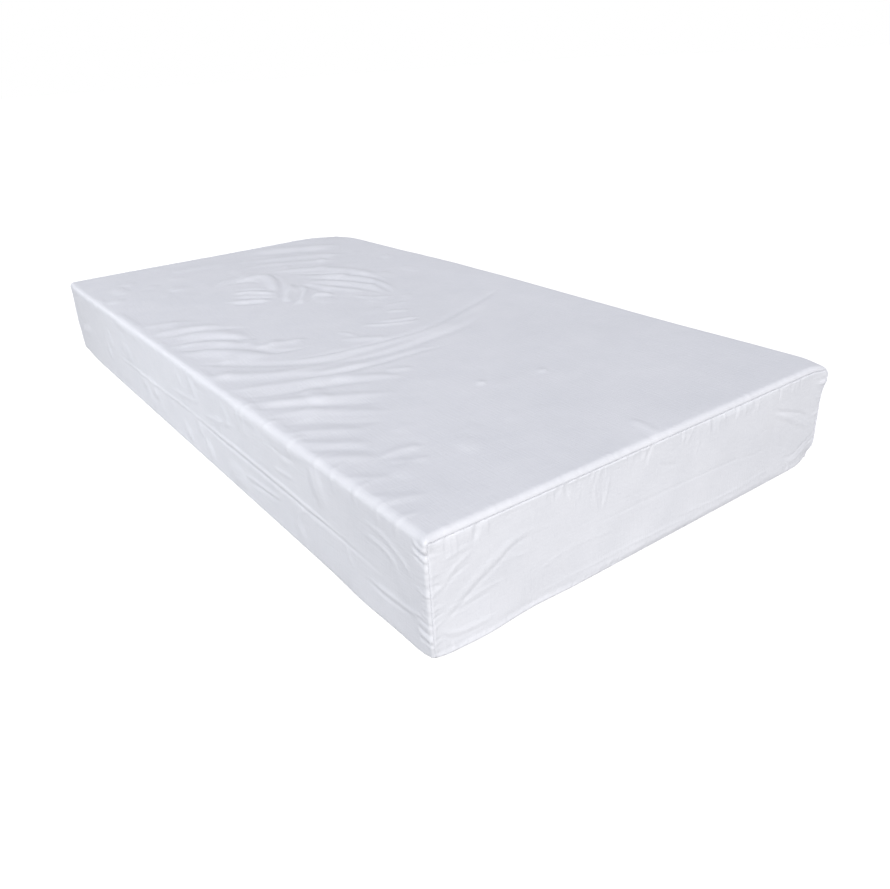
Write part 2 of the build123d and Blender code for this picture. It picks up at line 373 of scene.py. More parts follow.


# ---------------------------------------------------------------- the folds, listed one by one

# A fold is its height, its half width and the points it runs through, all in millimetres.

# On the top: across (x) and along (y)
TOP_FOLDS = [
    # arcs that start at the left edge
    (1.6, 16, [(-480, 305), (-415, 300), (-330, 250)]),
    (2.6, 17, [(-490, 225), (-395, 220), (-300, 175)]),
    (-2.2, 11, [(-485, 190), (-395, 185), (-330, 155), (-255, 100)]),
    (3.4, 22, [(-465, 165), (-375, 140), (-325, 85), (-305, 25)]),
    (-2.2, 10, [(-475, 115), (-385, 95), (-300, 10)]),
    (2.6, 15, [(-485, 95), (-395, 65), (-320, -20)]),
    (-3.2, 11, [(-485, 65), (-405, 20), (-340, -40), (-295, -120), (-200, -150)]),
    (3.8, 24, [(-485, 35), (-405, -20), (-360, -90), (-315, -145)]),
    (-2.6, 11, [(-485, -60), (-420, -115), (-340, -195), (-245, -260), (-160, -275)]),
    (2.2, 14, [(-330, -50), (-265, -65), (-190, -85)]),
    # the long sweeping folds to the far edge
    (-2.8, 9, [(-325, -180), (-210, -220), (-20, -235), (75, -220), (215, -165), (335, -115), (465, -65)]),
    (2.8, 15, [(-305, -210), (-170, -245), (-20, -255), (90, -240), (240, -180), (370, -120)]),
    (-1.9, 10, [(-305, -265), (-135, -315), (-5, -305), (130, -280), (295, -205)]),
    (1.7, 15, [(-210, -290), (-70, -290), (90, -265), (240, -220)]),
    (-2.6, 8, [(-380, -300), (-275, -340), (-165, -355), (-70, -355), (35, -370)]),
    (2.0, 12, [(-350, -280), (-260, -320), (-165, -335)]),
    (3.0, 18, [(-485, -160), (-420, -215), (-345, -265), (-230, -290)]),
    (2.6, 17, [(-495, -270), (-400, -315), (-285, -360), (-190, -380)]),
    (-1.9, 10, [(-495, -325), (-400, -365), (-305, -395), (-210, -450)]),
    (2.1, 13, [(-305, -365), (-230, -405), (-165, -460)]),
    (1.5, 10, [(-185, -400), (-125, -435)]),
    # cross wrinkles further down the left edge
    (2.4, 15, [(-495, -365), (-420, -410), (-335, -460), (-215, -535)]),
    (-1.7, 10, [(-495, -400), (-410, -445), (-335, -505), (-270, -550)]),
    (1.9, 15, [(-500, -450), (-420, -480), (-345, -545), (-280, -600)]),
    (-1.4, 10, [(-500, -500), (-420, -545), (-365, -595), (-310, -630)]),
    (1.7, 14, [(-500, -540), (-430, -585), (-365, -635)]),
    (1.5, 13, [(-500, -595), (-440, -645), (-385, -690)]),
    (-1.2, 9, [(-500, -630), (-440, -675), (-395, -725)]),
    (1.4, 12, [(-500, -670), (-450, -710), (-405, -745)]),
    (1.9, 10, [(-425, -745), (-365, -745), (-325, -760)]),
    (1.3, 9, [(-415, -760), (-375, -790), (-340, -800)]),
    (1.2, 11, [(-500, -760), (-460, -800), (-425, -820)]),
    (1.2, 10, [(-500, -840), (-465, -880), (-415, -900)]),
    # the knot towards the head
    (5.0, 20, [(-105, 560), (-65, 585), (-15, 570), (-10, 505), (-40, 430), (-65, 385)]),
    (-3.3, 9, [(10, 590), (8, 520), (-20, 430), (-60, 340), (-100, 290)]),
    (2.6, 14, [(-175, 545), (-125, 595), (-55, 625), (10, 645)]),
    (-1.7, 9, [(-150, 540), (-110, 560), (-70, 545), (-55, 500)]),
    (-2.0, 8, [(-155, 475), (-110, 455), (-75, 410)]),
    (3.0, 12, [(-175, 450), (-130, 430), (-95, 390), (-70, 345)]),
    (-2.4, 9, [(-190, 405), (-140, 365), (-90, 315)]),
    (2.5, 11, [(-225, 385), (-180, 350), (-140, 325), (-105, 290)]),
    (-1.6, 9, [(-215, 350), (-175, 315), (-130, 290)]),
    (3.2, 10, [(15, 430), (-20, 365), (-70, 285), (-95, 245)]),
    (-2.3, 8, [(20, 385), (-10, 320), (-50, 260), (-85, 225)]),
    (3.4, 10, [(20, 340), (-20, 280), (-55, 230), (-90, 200)]),
    (-1.9, 9, [(10, 280), (-20, 240), (-55, 195)]),
    (3.0, 12, [(-15, 255), (20, 250), (40, 205)]),
    (-2.5, 12, [(30, 400), (40, 320), (50, 235)]),
    # long curves right of the knot
    (2.8, 19, [(10, 620), (80, 580), (155, 530), (220, 430), (238, 310), (234, 235)]),
    (-1.6, 10, [(40, 560), (110, 490), (180, 415), (220, 310), (218, 225), (207, 165)]),
    (2.5, 16, [(50, 500), (110, 440), (165, 385), (203, 280), (197, 185), (183, 125)]),
    (-1.8, 9, [(60, 455), (115, 390), (155, 330), (185, 235), (180, 155), (165, 95)]),
    (2.1, 14, [(50, 420), (95, 365), (130, 310), (168, 220), (160, 120)]),
    (-1.4, 9, [(60, 370), (105, 290), (140, 200), (150, 110)]),
    (1.8, 12, [(55, 330), (90, 250), (125, 175)]),
    (1.4, 10, [(75, 175), (105, 110), (160, 80)]),
    # along the head edge
    (3.0, 30, [(90, 950), (205, 895), (305, 835), (400, 770)]),
    (-1.8, 20, [(45, 910), (165, 845), (280, 780), (350, 725)]),
    (2.4, 22, [(25, 805), (135, 760), (250, 705), (350, 625)]),
    (1.6, 17, [(-25, 725), (90, 700), (200, 635), (275, 580)]),
    (1.4, 22, [(-215, 875), (-100, 855), (15, 835)]),
    # small ones in the shallow hollow
    (2.0, 9, [(-60, -85), (10, -135), (90, -165)]),
    (-1.6, 7, [(-35, -85), (30, -125), (95, -145)]),
    (1.7, 9, [(0, -95), (45, -120), (100, -130)]),
    (1.9, 13, [(-150, -145), (-95, -190), (-50, -220)]),
    (1.8, 8, [(55, -25), (85, -50), (115, -60)]),
    (1.2, 8, [(75, 15), (125, 10), (155, 0)]),
    (1.2, 7, [(-125, -85), (-108, -130), (-106, -172)]),
    (1.8, 9, [(-85, -590), (-70, -610)]),
    (1.6, 9, [(50, -625), (65, -645)]),
    (1.4, 8, [(0, -915), (0, -960), (-10, -1005)]),
]

# On the foot panel: across (x) and up (z)
FOOT_FOLDS = [
    (-1.7, 8, [(-490, 46), (-450, 76), (-405, 104), (-370, 120), (-335, 140), (-270, 138)]),
    (2.1, 16, [(-480, 70), (-445, 92), (-405, 118), (-365, 136), (-325, 152), (-260, 148)]),
    (1.6, 7, [(-490, 82), (-435, 82), (-395, 86), (-340, 86)]),
    (-1.3, 6, [(-485, 70), (-435, 72), (-375, 78)]),
    (2.3, 9, [(-490, 60), (-460, 36), (-410, 30), (-360, 30)]),
    (-1.4, 7, [(-485, 48), (-455, 24), (-400, 20)]),
    (-1.7, 6, [(-475, 118), (-450, 138), (-415, 150)]),
    (1.7, 8, [(-470, 134), (-445, 154), (-410, 168)]),
    (1.3, 7, [(-475, 168), (-445, 176), (-415, 176)]),
    (1.5, 8, [(-350, 128), (-330, 118), (-310, 114)]),
    (1.9, 6, [(-165, 190), (-160, 152), (-150, 122)]),
    (-2.3, 5, [(-150, 190), (-145, 152), (-145, 124)]),
    (2.1, 6, [(-130, 190), (-135, 156), (-145, 124)]),
    (1.2, 6, [(-200, 188), (-200, 162)]),
    (1.0, 6, [(-295, 190), (-295, 164)]),
    (-1.4, 5, [(-10, 184), (-10, 158)]),
    (-1.4, 6, [(-10, 164), (20, 152), (55, 144)]),
    (1.0, 6, [(100, 180), (95, 148)]),
    (-3.2, 8, [(300, 174), (375, 146), (435, 124), (475, 92)]),
    (2.6, 12, [(320, 160), (380, 132), (430, 106), (475, 78)]),
    (-2.2, 7, [(370, 46), (415, 36), (455, 50), (490, 68)]),
    (2.0, 9, [(380, 32), (425, 22), (460, 34), (485, 52)]),
    (-1.1, 5, [(-265, 100), (-120, 104), (50, 102), (200, 96), (300, 86), (400, 94)]),
    (1.0, 6, [(-310, 58), (-240, 80), (-150, 80), (-90, 66)]),
    (1.0, 7, [(0, 48), (120, 30), (265, 28), (375, 36)]),
    (0.9, 5, [(-385, 80), (-390, 22)]),
    (0.9, 5, [(-300, 112), (-305, 58), (-300, 20)]),
    (1.1, 6, [(-300, 24), (-180, 26), (-20, 26), (155, 18)]),
]

# On the left side: along (y) and up (z)
LEFT_FOLDS = [
    (1.5, 7, [(575, 92), (410, 96), (215, 98), (15, 104), (-180, 106)]),
    (1.9, 7, [(-30, 106), (-210, 106), (-405, 106), (-620, 106), (-795, 102)]),
    (-1.7, 6, [(20, 96), (-225, 96), (-470, 96), (-715, 98), (-960, 94)]),
    (1.6, 7, [(-320, 50), (-380, 60), (-470, 66), (-520, 74)]),
    (-1.4, 6, [(-350, 44), (-420, 54), (-510, 62)]),
    (1.5, 7, [(-565, 34), (-580, 66), (-615, 94), (-655, 102)]),
    (1.4, 6, [(-760, 96), (-770, 74), (-780, 50)]),
    (1.5, 7, [(-810, 66), (-880, 64), (-960, 70), (-985, 78)]),
    (-1.1, 6, [(-810, 58), (-890, 54), (-965, 62)]),
    (1.3, 7, [(-815, 144), (-865, 150), (-910, 140), (-915, 108)]),
    (1.1, 8, [(-815, 170), (-885, 172), (-940, 152), (-970, 126)]),
    (1.5, 8, [(-495, 134), (-540, 140), (-590, 146)]),
    (-1.2, 7, [(-485, 182), (-545, 180), (-605, 184)]),
    (1.2, 9, [(85, 128), (-35, 138), (-135, 154)]),
    (1.2, 9, [(-130, 124), (-230, 142), (-330, 160)]),
    (1.5, 6, [(-350, 214), (-345, 184), (-340, 154)]),
    (1.4, 6, [(-460, 214), (-460, 192), (-450, 174)]),
    (1.4, 9, [(150, 216), (145, 188)]),
    (2.0, 20, [(930, 74), (880, 90), (790, 108)]),
    (-2.0, 22, [(945, 106), (900, 104), (845, 120)]),
]

# The pinches at the foot-left corner, under its ear and near its base, along (y) and up (z)
CORNER_FOLDS = [
    (-3.4, 4, [(-966, 196), (-988, 190), (-1012, 187)]),
    (2.4, 4, [(-968, 205), (-988, 200), (-1012, 197)]),
    (-1.6, 4, [(-968, 180), (-988, 176), (-1012, 174)]),
    (-1.3, 3.5, [(-955, 71), (-982, 67), (-1012, 66)]),
    (-1.5, 3.5, [(-962, 52), (-984, 49), (-1012, 48)]),
    (1.0, 4, [(-958, 43), (-984, 40), (-1012, 39)]),
    (-1.4, 3.5, [(-966, 32), (-986, 30), (-1012, 29)]),
]

# Short creases that cross the left roll, by their place along it
ROLL_CREASES = (-375, -480, -580, -675, -730, -810, -880, -930)


def in_metres(folds):
    """Listed folds with their points in metres."""
    return [(height, width, np.array(points) * MM) for height, width, points in folds]


def scaled(folds, height_by, width_by):
    """The same folds, higher and wider by two factors."""
    return [(height_by * height, width_by * width, points) for height, width, points in folds]


def creases_from(seed, seam, outward, count, stretch, length, heights, widths, swap=False):
    """Short creases that leave a seam, strewn by chance over a stretch of it. The seam is the
    line v = `seam`, or u = `seam` with `swap`, and `outward` is the side beyond it, 1 or -1."""
    rng = np.random.default_rng(seed)
    folds = []
    for _ in range(count):
        along, reach = rng.uniform(*stretch), rng.uniform(*length)
        slant = rng.normal(0, 0.22) * reach
        points = [(along - slant, seam + outward * reach), (along, seam),
                  (along + slant, seam - outward * reach)]
        if swap:
            points = [(v, u) for u, v in points]
        height = rng.uniform(*heights) * rng.choice((1, -1))
        folds.append((height, rng.uniform(*widths), points))
    return folds


def random_folds(rng, count, low, high, length, heights, lean):
    """Folds strewn over a region by chance, for the sides away from the front."""
    folds = []
    for _ in range(count):
        u, v = rng.uniform(low, high)
        angle = rng.normal(0, lean)
        reach = rng.uniform(*length)
        bend = rng.normal(0, 0.12) * reach
        du, dv = math.cos(angle), math.sin(angle)
        points = [(u + s * reach * du - b * bend * dv, v + s * reach * dv + b * bend * du)
                  for s, b in ((-0.5, 0), (0, 1), (0.5, 0))]
        height = rng.uniform(*heights) * rng.choice((1, 1, -0.8))
        folds.append((height, rng.uniform(6, 13), points))
    return folds


def side_folds(folds, side):
    """Folds of a long side, given along and up, in the wrap's own coordinates."""
    return [(h, w, [(side * side_a(z), y) for y, z in points]) for h, w, points in folds]


def wrap_folds():
    """All the folds of the wrap, in its own coordinates (across, along)."""
    rng = np.random.default_rng(11)
    hidden = random_folds(rng, 30, (-0.95, 0.03), (0.95, 0.17), (0.08, 0.3), (0.9, 1.9), 0.35)
    left = scaled(in_metres(LEFT_FOLDS), *LEFT_SCALE)
    folds = in_metres(TOP_FOLDS) + side_folds(left, -1) + side_folds(hidden, 1)
    for i, place in enumerate(ROLL_CREASES):
        y, lean = place * MM, 12 * MM * math.sin(5 * i)
        points = [(-FLAT - TURN - 30 * MM, y - lean), (-FLAT - 5 * MM, y), (45 * MM - HALF_WIDTH, y + lean)]
        folds.append((0.9, 4.5, points))
    return scaled(folds, *WRAP_SCALE)


def wrap_creases():
    """The short creases along the wrap's seams, in its own coordinates."""
    side_low, side_high = FLAT + TURN + 6 * MM, ACROSS - 6 * MM
    folds = []
    for end in (-1, 1):
        seam = end * HALF_LENGTH
        folds += creases_from(201 + end, seam, end, 24, (-side_high, -side_low), (0.014, 0.045),
                              (0.22, 0.6), (2.4, 4.0))
        folds += creases_from(204 + end, seam, end, 16, (side_low, side_high), (0.015, 0.045),
                              (0.4, 1.2), (3.0, 5.0))
        folds += creases_from(207 + end, seam, end, 64, (-FLAT, FLAT), (0.010, 0.028),
                              (0.3, 0.85), (3.2, 4.6))
    for side in (-1, 1):
        stretch = (-0.97, 0.97)
        folds += creases_from(211 + side, side * ACROSS, side, 60, stretch, (0.008, 0.024),
                              (0.4, 1.1), (3.0, 5.0), swap=True)
    return folds + side_folds(in_metres(CORNER_FOLDS), -1)


def panel_creases(end):
    """The short creases along an end panel's seams, across (x) and up (z)."""
    upright = (SEAM_BASE + 8 * MM, SEAM_TOP - 8 * MM)
    across = (-SEAM_X + 10 * MM, SEAM_X - 10 * MM)
    folds = creases_from(221 + end, SEAM_TOP, 1, 44, across, (0.016, 0.044), (0.6, 1.4), (2.8, 5.0))
    folds += creases_from(224 + end, SEAM_BASE, -1, 40, across, (0.008, 0.026), (0.4, 1.1), (2.4, 4.5))
    for side in (-1, 1):
        folds += creases_from(231 + end + 4 * side, side * SEAM_X, side, 16, upright,
                              (0.010, 0.036), (0.4, 1.2), (2.2, 4.0), swap=True)
    return folds


# ---------------------------------------------------------------- cloth simulation


def cubic_weights(grid, at):
    """For each place in `at`, its cell on `grid` and the four cubic weights about it."""
    where = np.interp(at, grid, np.arange(len(grid)))
    cell = np.clip(where.astype(int), 1, len(grid) - 3)
    t = where - cell
    weights = ((1 - t) ** 3 / 6, (3 * t**3 - 6 * t**2 + 4) / 6,
               (-3 * t**3 + 3 * t**2 + 3 * t + 1) / 6, t**3 / 6)
    return cell, weights


class Settled:
    """The height that a simulated sheet gained over its starting form, on a coarse grid."""

    def __init__(self, across, along, heights):
        self.across, self.along, self.heights = across, along, heights

    def at(self, across, along):
        if self.heights is None:
            return np.zeros_like(across)
        column, column_weights = cubic_weights(self.across, across)
        row, row_weights = cubic_weights(self.along, along)
        total = np.zeros_like(across)
        for i, row_weight in enumerate(row_weights):
            for j, column_weight in enumerate(column_weights):
                total += row_weight * column_weight * self.heights[row + i - 1, column + j - 1]
        return total


def foam_collider():
    """A plain block the size of the foam core for the cloth to lie on. It isn't kept."""
    high = np.array([HALF_WIDTH, HALF_LENGTH, TOP]) - COLLIDER_UNDER
    low = np.array([-high[0], -high[1], 1 * MM])
    mesh = bpy.data.meshes.new("collider")
    shape = bmesh.new()
    bmesh.ops.create_cube(shape, size=1)
    for vertex in shape.verts:
        vertex.co = Vector(low + (np.array(vertex.co) + 0.5) * (high - low))
    bmesh.ops.bevel(shape, geom=list(shape.edges), offset=14 * MM, segments=4, affect="EDGES")
    shape.to_mesh(mesh)
    shape.free()
    block = in_scene("collider", mesh)
    block.modifiers.new("collision", "COLLISION")
    set_all(block.collision, thickness_outer=1 * MM, cloth_friction=8)
    return block


def weigh(obj, name, weights):
    """A vertex group from an array of weights, in ten steps."""
    group = obj.vertex_groups.new(name=name)
    steps = np.round(np.clip(weights, 0, 1) * 10).astype(int)
    for step in range(1, 11):
        members = np.flatnonzero(steps == step)
        if len(members):
            group.add([int(m) for m in members], step / 10, "REPLACE")


def simulate(points, normals, pinned, slack, slackness, frames):
    """Lets a grid of cloth settle on the foam and returns the height that each point gained."""
    scene = bpy.context.scene
    rows, columns = points.shape[:2]
    cloth = piece_from("cloth", points.reshape(-1, 3), grid_faces(rows, columns))
    weigh(cloth, "pinned", pinned.ravel())
    weigh(cloth, "slack", slack.ravel())
    block = foam_collider()
    modifier = cloth.modifiers.new("cloth", "CLOTH")
    set_all(modifier.settings, quality=6, mass=0.12, tension_stiffness=25, compression_stiffness=12,
            shear_stiffness=8, bending_stiffness=0.12, air_damping=2, vertex_group_mass="pinned",
            vertex_group_shrink="slack", shrink_min=0, shrink_max=-slackness)
    set_all(modifier.collision_settings, distance_min=1 * MM, collision_quality=2, use_self_collision=False)
    for frame_number in range(1, frames + 1):
        scene.frame_set(frame_number)
    settled = coordinates(cloth.evaluated_get(bpy.context.evaluated_depsgraph_get()).data)
    gained = ((settled.reshape(points.shape) - points) * normals).sum(-1)
    for leftover in (cloth, block):
        bpy.data.objects.remove(leftover)
    scene.frame_set(1)
    return gained


def tamed(heights, low, high):
    """Heights kept between two limits, bent softly towards them."""
    middle, half = (low + high) / 2, (high - low) / 2
    return middle + half * np.tanh((heights - middle) / half)


def settle_wrap():
    """The simulated wrap: slack over the left edge and the head third, taut elsewhere."""
    a = spaced(-ACROSS, ACROSS, 11 * MM)
    r = np.concatenate([[-3, -2.5, -2, -1.5], spaced(-1, 1, 11.5 * MM / HALF_LENGTH), [1.5, 2, 2.5, 3]])
    grid_a, grid_r = np.meshgrid(a, r)
    point, normal, distance = wrap_form(grid_a, grid_r)
    y = point[..., 1]
    start = 0.6 * MM * noise(grid_a, y, 45 * MM, 91) * smooth(0, 30 * MM, distance)
    on_roll = smooth(24 * MM, 8 * MM, np.abs(np.abs(grid_a) - FLAT - TURN / 2))
    pinned = np.maximum((np.abs(grid_r) > 1.9), (ACROSS - np.abs(grid_a) < 6 * MM))
    pinned = np.maximum(pinned, on_roll)
    slack = 0.25 + 0.75 * smooth(0.1, -0.45, grid_a) * smooth(-1.0, -0.6, y)
    slack += 0.9 * mound(grid_a, y, (0.05, 0.42), (0.35, 0.35))
    slack *= smooth(0, 0.05, HALF_LENGTH - np.abs(y))
    gained = start + simulate(point + start[..., None] * normal, normal, pinned, slack, 0.009, 26)
    gained -= np.median(gained)
    calm = 0.12 + 0.88 * smooth(0.25, 0.7, slack)
    return Settled(a, r, tamed(gained, *SETTLED) * (1 - on_roll) * calm)


def settle_panel(end, seed):
    """A simulated end panel, a little slack all over."""
    x = spaced(-SEAM_X, SEAM_X, 9 * MM)
    z = spaced(SEAM_BASE, SEAM_TOP, 9 * MM)
    grid_x, grid_z = np.meshgrid(x, z)
    gap = np.minimum(SEAM_X - np.abs(grid_x), np.minimum(SEAM_TOP - grid_z, grid_z - SEAM_BASE))
    start = 0.6 * MM * noise(grid_x, grid_z, 40 * MM, seed) * smooth(0, 12 * MM, gap)
    normal = np.zeros(grid_x.shape + (3,))
    normal[..., 1] = end
    point = np.stack([grid_x, end * (HALF_LENGTH + start), grid_z], -1)
    pinned = (gap < 5 * MM).astype(float)
    slack = 0.6 + 0.4 * smooth(0.35, 0.48, np.abs(grid_x))
    gained = start + simulate(point, normal, pinned, slack, 0.006, 22)
    gained -= np.median(gained)
    return Settled(x, z, tamed(gained, *SETTLED))


# ---------------------------------------------------------------- the cover's surfaces


class Wrap:
    """The top wrap's finished surface."""

    def __init__(self):
        self.folds = wrap_folds()
        self.creases = wrap_creases()
        self.settled = settle_wrap()

    def relief(self, a, r, y, distance):
        """Its height over the plain form: folds, settling, long waves, the hem and the seams."""
        height = folds_over(a, y, self.folds) + self.settled.at(a, r)
        height += waves(a, y, WRAP_WAVES, 21)
        height -= HOLLOW * mound(a, y, (-0.03, 0.10), (0.26, 0.26))
        height += CROWN * mound(a, y, (0.46, 0.15), (0.10, 0.42))
        base_gap = ACROSS - np.abs(a)
        height *= smooth(0, 26 * MM, distance) * smooth(0, 12 * MM, base_gap)
        seam_gap = np.minimum(distance, base_gap)
        height += folds_over(a, y, self.creases) * smooth(0, 3.5 * MM, seam_gap)
        past_patch = np.maximum(np.abs(y) - PATCH_HIGH.y, 0)
        height *= smooth(16 * MM, 40 * MM, np.hypot(a - side_a(ZIP_Z), past_patch))
        height += self.zip_hem(a, y)
        height = tamed(height, *WRAP_RELIEF)
        return height + seam_dip(distance, a) + BASE_DIP_SHARE * seam_dip(base_gap, y)

    def zip_hem(self, a, y):
        """The turned hem beside the zip's opening, and its edge bent in to the tape."""
        past = np.maximum(np.abs(a - side_a(ZIP_Z)) - ZIP_SLOT_HALF, np.abs(y) - ZIP_SLOT_END)
        hem = 0.5 * MM * smooth(0, 1.5 * MM, past) * smooth(10 * MM, 8.5 * MM, past)
        return np.where(past > -1e-6, hem - 1.1 * MM * (1 - smooth(0, 1.4 * MM, past)), 0)

    def at(self, a, r):
        """Its points and outward directions."""
        point, normal, distance = wrap_form(a, r)
        relief = self.relief(a, r, point[..., 1], distance)
        return shaped(point + normal * relief[..., None]), normal


class EndPanel:
    """An end panel's finished surface. `end` is -1 at the foot and 1 at the head."""

    def __init__(self, end, folds, seed):
        self.end, self.folds, self.seed = end, scaled(folds, *PANEL_SCALE), seed
        self.creases = panel_creases(end)
        self.settled = settle_panel(end, seed)

    def seam_top(self, x):
        """The height of the top seam, which follows the wrap's end round its two corners."""
        over = np.linspace(0, FLAT + TURN, 300)
        seam, _, _ = wrap_form(over, np.full_like(over, 3.0))
        return np.interp(np.abs(x), seam[:, 0], seam[:, 2])

    def at(self, x, z):
        """Its points."""
        to_side = SEAM_X - np.abs(x)
        to_top = self.seam_top(x) - z
        to_base = z - SEAM_BASE
        to_seam = np.minimum(to_side, to_top)
        distance = np.minimum(to_seam, to_base)
        height = folds_over(x, z, self.folds) + self.settled.at(x, z)
        height += waves(x, z, PANEL_WAVES, self.seed)
        height *= smooth(0, 10 * MM, distance)
        height += folds_over(x, z, self.creases) * smooth(0, 3 * MM, distance)
        along = np.where(to_side < to_top, np.sign(x) * side_a(z), x)
        height = tamed(height, *PANEL_RELIEF) + seam_dip(to_seam, along)
        height += BASE_DIP_SHARE * seam_dip(to_base, x)
        return shaped(np.stack([x, self.end * (HALF_LENGTH + height), z], -1))


# ---------------------------------------------------------------- the cover's pieces


def cover_wrap(wrap, material):
    """The top and both long sides, one piece of fabric with an opening for the zip."""
    slot_low, slot_high = side_a(ZIP_Z + ZIP_SLOT_HALF), side_a(ZIP_Z - ZIP_SLOT_HALF)
    hem = 3 * MM
    a = places(-ACROSS, (-FLAT - TURN, 2.5 * MM), (-FLAT, 2.2 * MM), (-0.1, 4 * MM), (FLAT, 5.2 * MM),
               (FLAT + TURN, 3 * MM), (slot_low - hem, 5 * MM), (slot_low, 0.75 * MM), (slot_high, 8 * MM),
               (slot_high + hem, 0.75 * MM), (ACROSS, 4.2 * MM))
    slot_r = ZIP_SLOT_END / STRAIGHT
    ending = places(slot_r, (slot_r + hem, 1 * MM), (1, 3 * MM), (1.6, 0.15), (2, 0.07), (3, 0.34), (4, 0.5))
    middle = places(-slot_r, (0.65, 5 * MM), (slot_r, 7 * MM))[1:-1]
    r = np.concatenate([-ending[::-1], middle, ending])
    grid_a, grid_r = np.meshgrid(a, r)
    point, _ = wrap.at(grid_a, grid_r)
    in_slot = ((a[:-1] + a[1:]) / 2 > slot_low) & ((a[:-1] + a[1:]) / 2 < slot_high)
    row_mid = np.abs((r[:-1] + r[1:]) / 2)
    keep = ~((row_mid < slot_r)[:, None] & in_slot[None, :])
    uv = np.stack([grid_a, point[..., 1]], -1)
    piece = grid_piece("cover_wrap", point, uv, keep=keep)
    finish_piece(piece, "cover_top_wrap", material)


def end_panel_piece(name, node, panel, material):
    """One end panel, from seam to seam."""
    edge = 9 * MM
    x = places(-SEAM_X, (edge - SEAM_X, 0.8 * MM), (SEAM_X - edge, 2.6 * MM), (SEAM_X, 0.8 * MM))
    share = places(0, (0.025, 0.005), (0.97, 0.0125), (1, 0.004))
    grid_x, grid_share = np.meshgrid(x, share)
    grid_z = SEAM_BASE + grid_share * (panel.seam_top(grid_x) - SEAM_BASE)
    uv = np.stack([grid_x, grid_z], -1)
    piece = grid_piece(name, panel.at(grid_x, grid_z), uv, flip=panel.end > 0)
    finish_piece(piece, node, material)


def base_sheet(material):
    """The base sheet with its rim turned up to the base seam."""
    rim = SEAM_BASE - 0.5 * MM
    edge = 24 * MM
    x = mirrored(places(0, (HALF_WIDTH - edge, 12 * MM), (HALF_WIDTH, 1.5 * MM)))
    y = mirrored(places(0, (HALF_LENGTH - edge, 14 * MM), (HALF_LENGTH, 1.5 * MM)))
    grid_x, grid_y = np.meshgrid(x, y)
    inner_x = np.clip(grid_x, -SEAM_X, SEAM_X)
    inner_y = np.clip(grid_y, -STRAIGHT, STRAIGHT)
    out_x, out_y = grid_x - inner_x, grid_y - inner_y
    square = np.maximum(np.abs(out_x), np.abs(out_y))
    scale = square / np.maximum(np.hypot(out_x, out_y), 1e-9)
    gap = np.where(square > 1e-6, SIDE_ROUND - square,
                   np.minimum(HALF_WIDTH - np.abs(grid_x), HALF_LENGTH - np.abs(grid_y)))
    inside = np.clip(1 - gap / rim, 0, 1)
    z = rim * (1 - np.sqrt(np.maximum(1 - inside**2, 0))) + (SEAM_BASE - rim) * smooth(0.9, 1.0, inside)
    wave = noise(grid_x, grid_y, 0.17, 71) + 0.5 * noise(grid_x, grid_y, 0.05, 72)
    z = z + 0.35 * MM * np.clip(wave, 0, 2) * smooth(0, 40 * MM, gap)
    point = np.stack([inner_x + out_x * scale, inner_y + out_y * scale, z], -1)
    uv = np.stack([grid_x, grid_y], -1)
    piece = grid_piece("cover_base", shaped(point), uv, flip=True)
    finish_piece(piece, "cover_base_sheet", material)


def end_seam_tape(name, node, end, material):
    """The binding inside an end seam: half on the wrap and half on the end panel."""
    a = spaced(-ACROSS + 4 * MM, ACROSS - 4 * MM, 6 * MM)
    share = BINDING_REACH / STRAIGHT
    r_side = end * np.array([1 - share, 1 - share / 2, 1, 1.25, 1.5, 1.75, 2, 3])
    grid_a, grid_r = np.meshgrid(a, r_side)
    point, normal, _ = wrap_form(grid_a, grid_r)
    on_wrap = shaped(point - BINDING_UNDER * normal)
    corner, inward, _ = wrap_form(a, np.full_like(a, 3.0 * end))
    inward[:, 1] = 0
    inward = unit(inward)
    steps = np.linspace(0.2, 1, 6)[:, None, None]
    on_panel = corner - BINDING_UNDER * inward - BINDING_REACH * steps * inward
    on_panel[..., 1] = end * (HALF_LENGTH - BINDING_UNDER)
    piece = grid_piece(name, np.vstack([on_wrap, shaped(on_panel)]))
    finish_piece(piece, node, material)


def base_seam_tape(material):
    """The binding inside the base seam, all the way round."""
    reach, inset = BINDING_REACH, BINDING_UNDER
    half_x, half_y, radius = HALF_WIDTH - inset, HALF_LENGTH - inset, 12 * MM
    path, outward = [], []
    for quarter in range(4):
        turn = quarter * math.pi / 2
        sx, sy = (1, 1, -1, -1)[quarter], (-1, 1, 1, -1)[quarter]
        centre = np.array([sx * (half_x - radius), sy * (half_y - radius)])
        for angle in np.linspace(turn - math.pi / 2, turn, 7):
            direction = np.array([math.cos(angle), math.sin(angle)])
            path.append(centre + radius * direction)
            outward.append(direction)
    path, outward = np.array(path), np.array(outward)
    rows = []
    for up in (reach + inset, reach / 2 + inset, inset + 2 * MM):
        rows.append(np.column_stack([path, np.full(len(path), up)]))
    for inwards in (2 * MM, reach / 2, reach):
        rows.append(np.column_stack([path - inwards * outward, np.full(len(path), inset)]))
    piece = grid_piece("base_seam_binding", shaped(np.array(rows)), closed=True)
    finish_piece(piece, "base_seam_tapes", material)


# ---------------------------------------------------------------- the thread


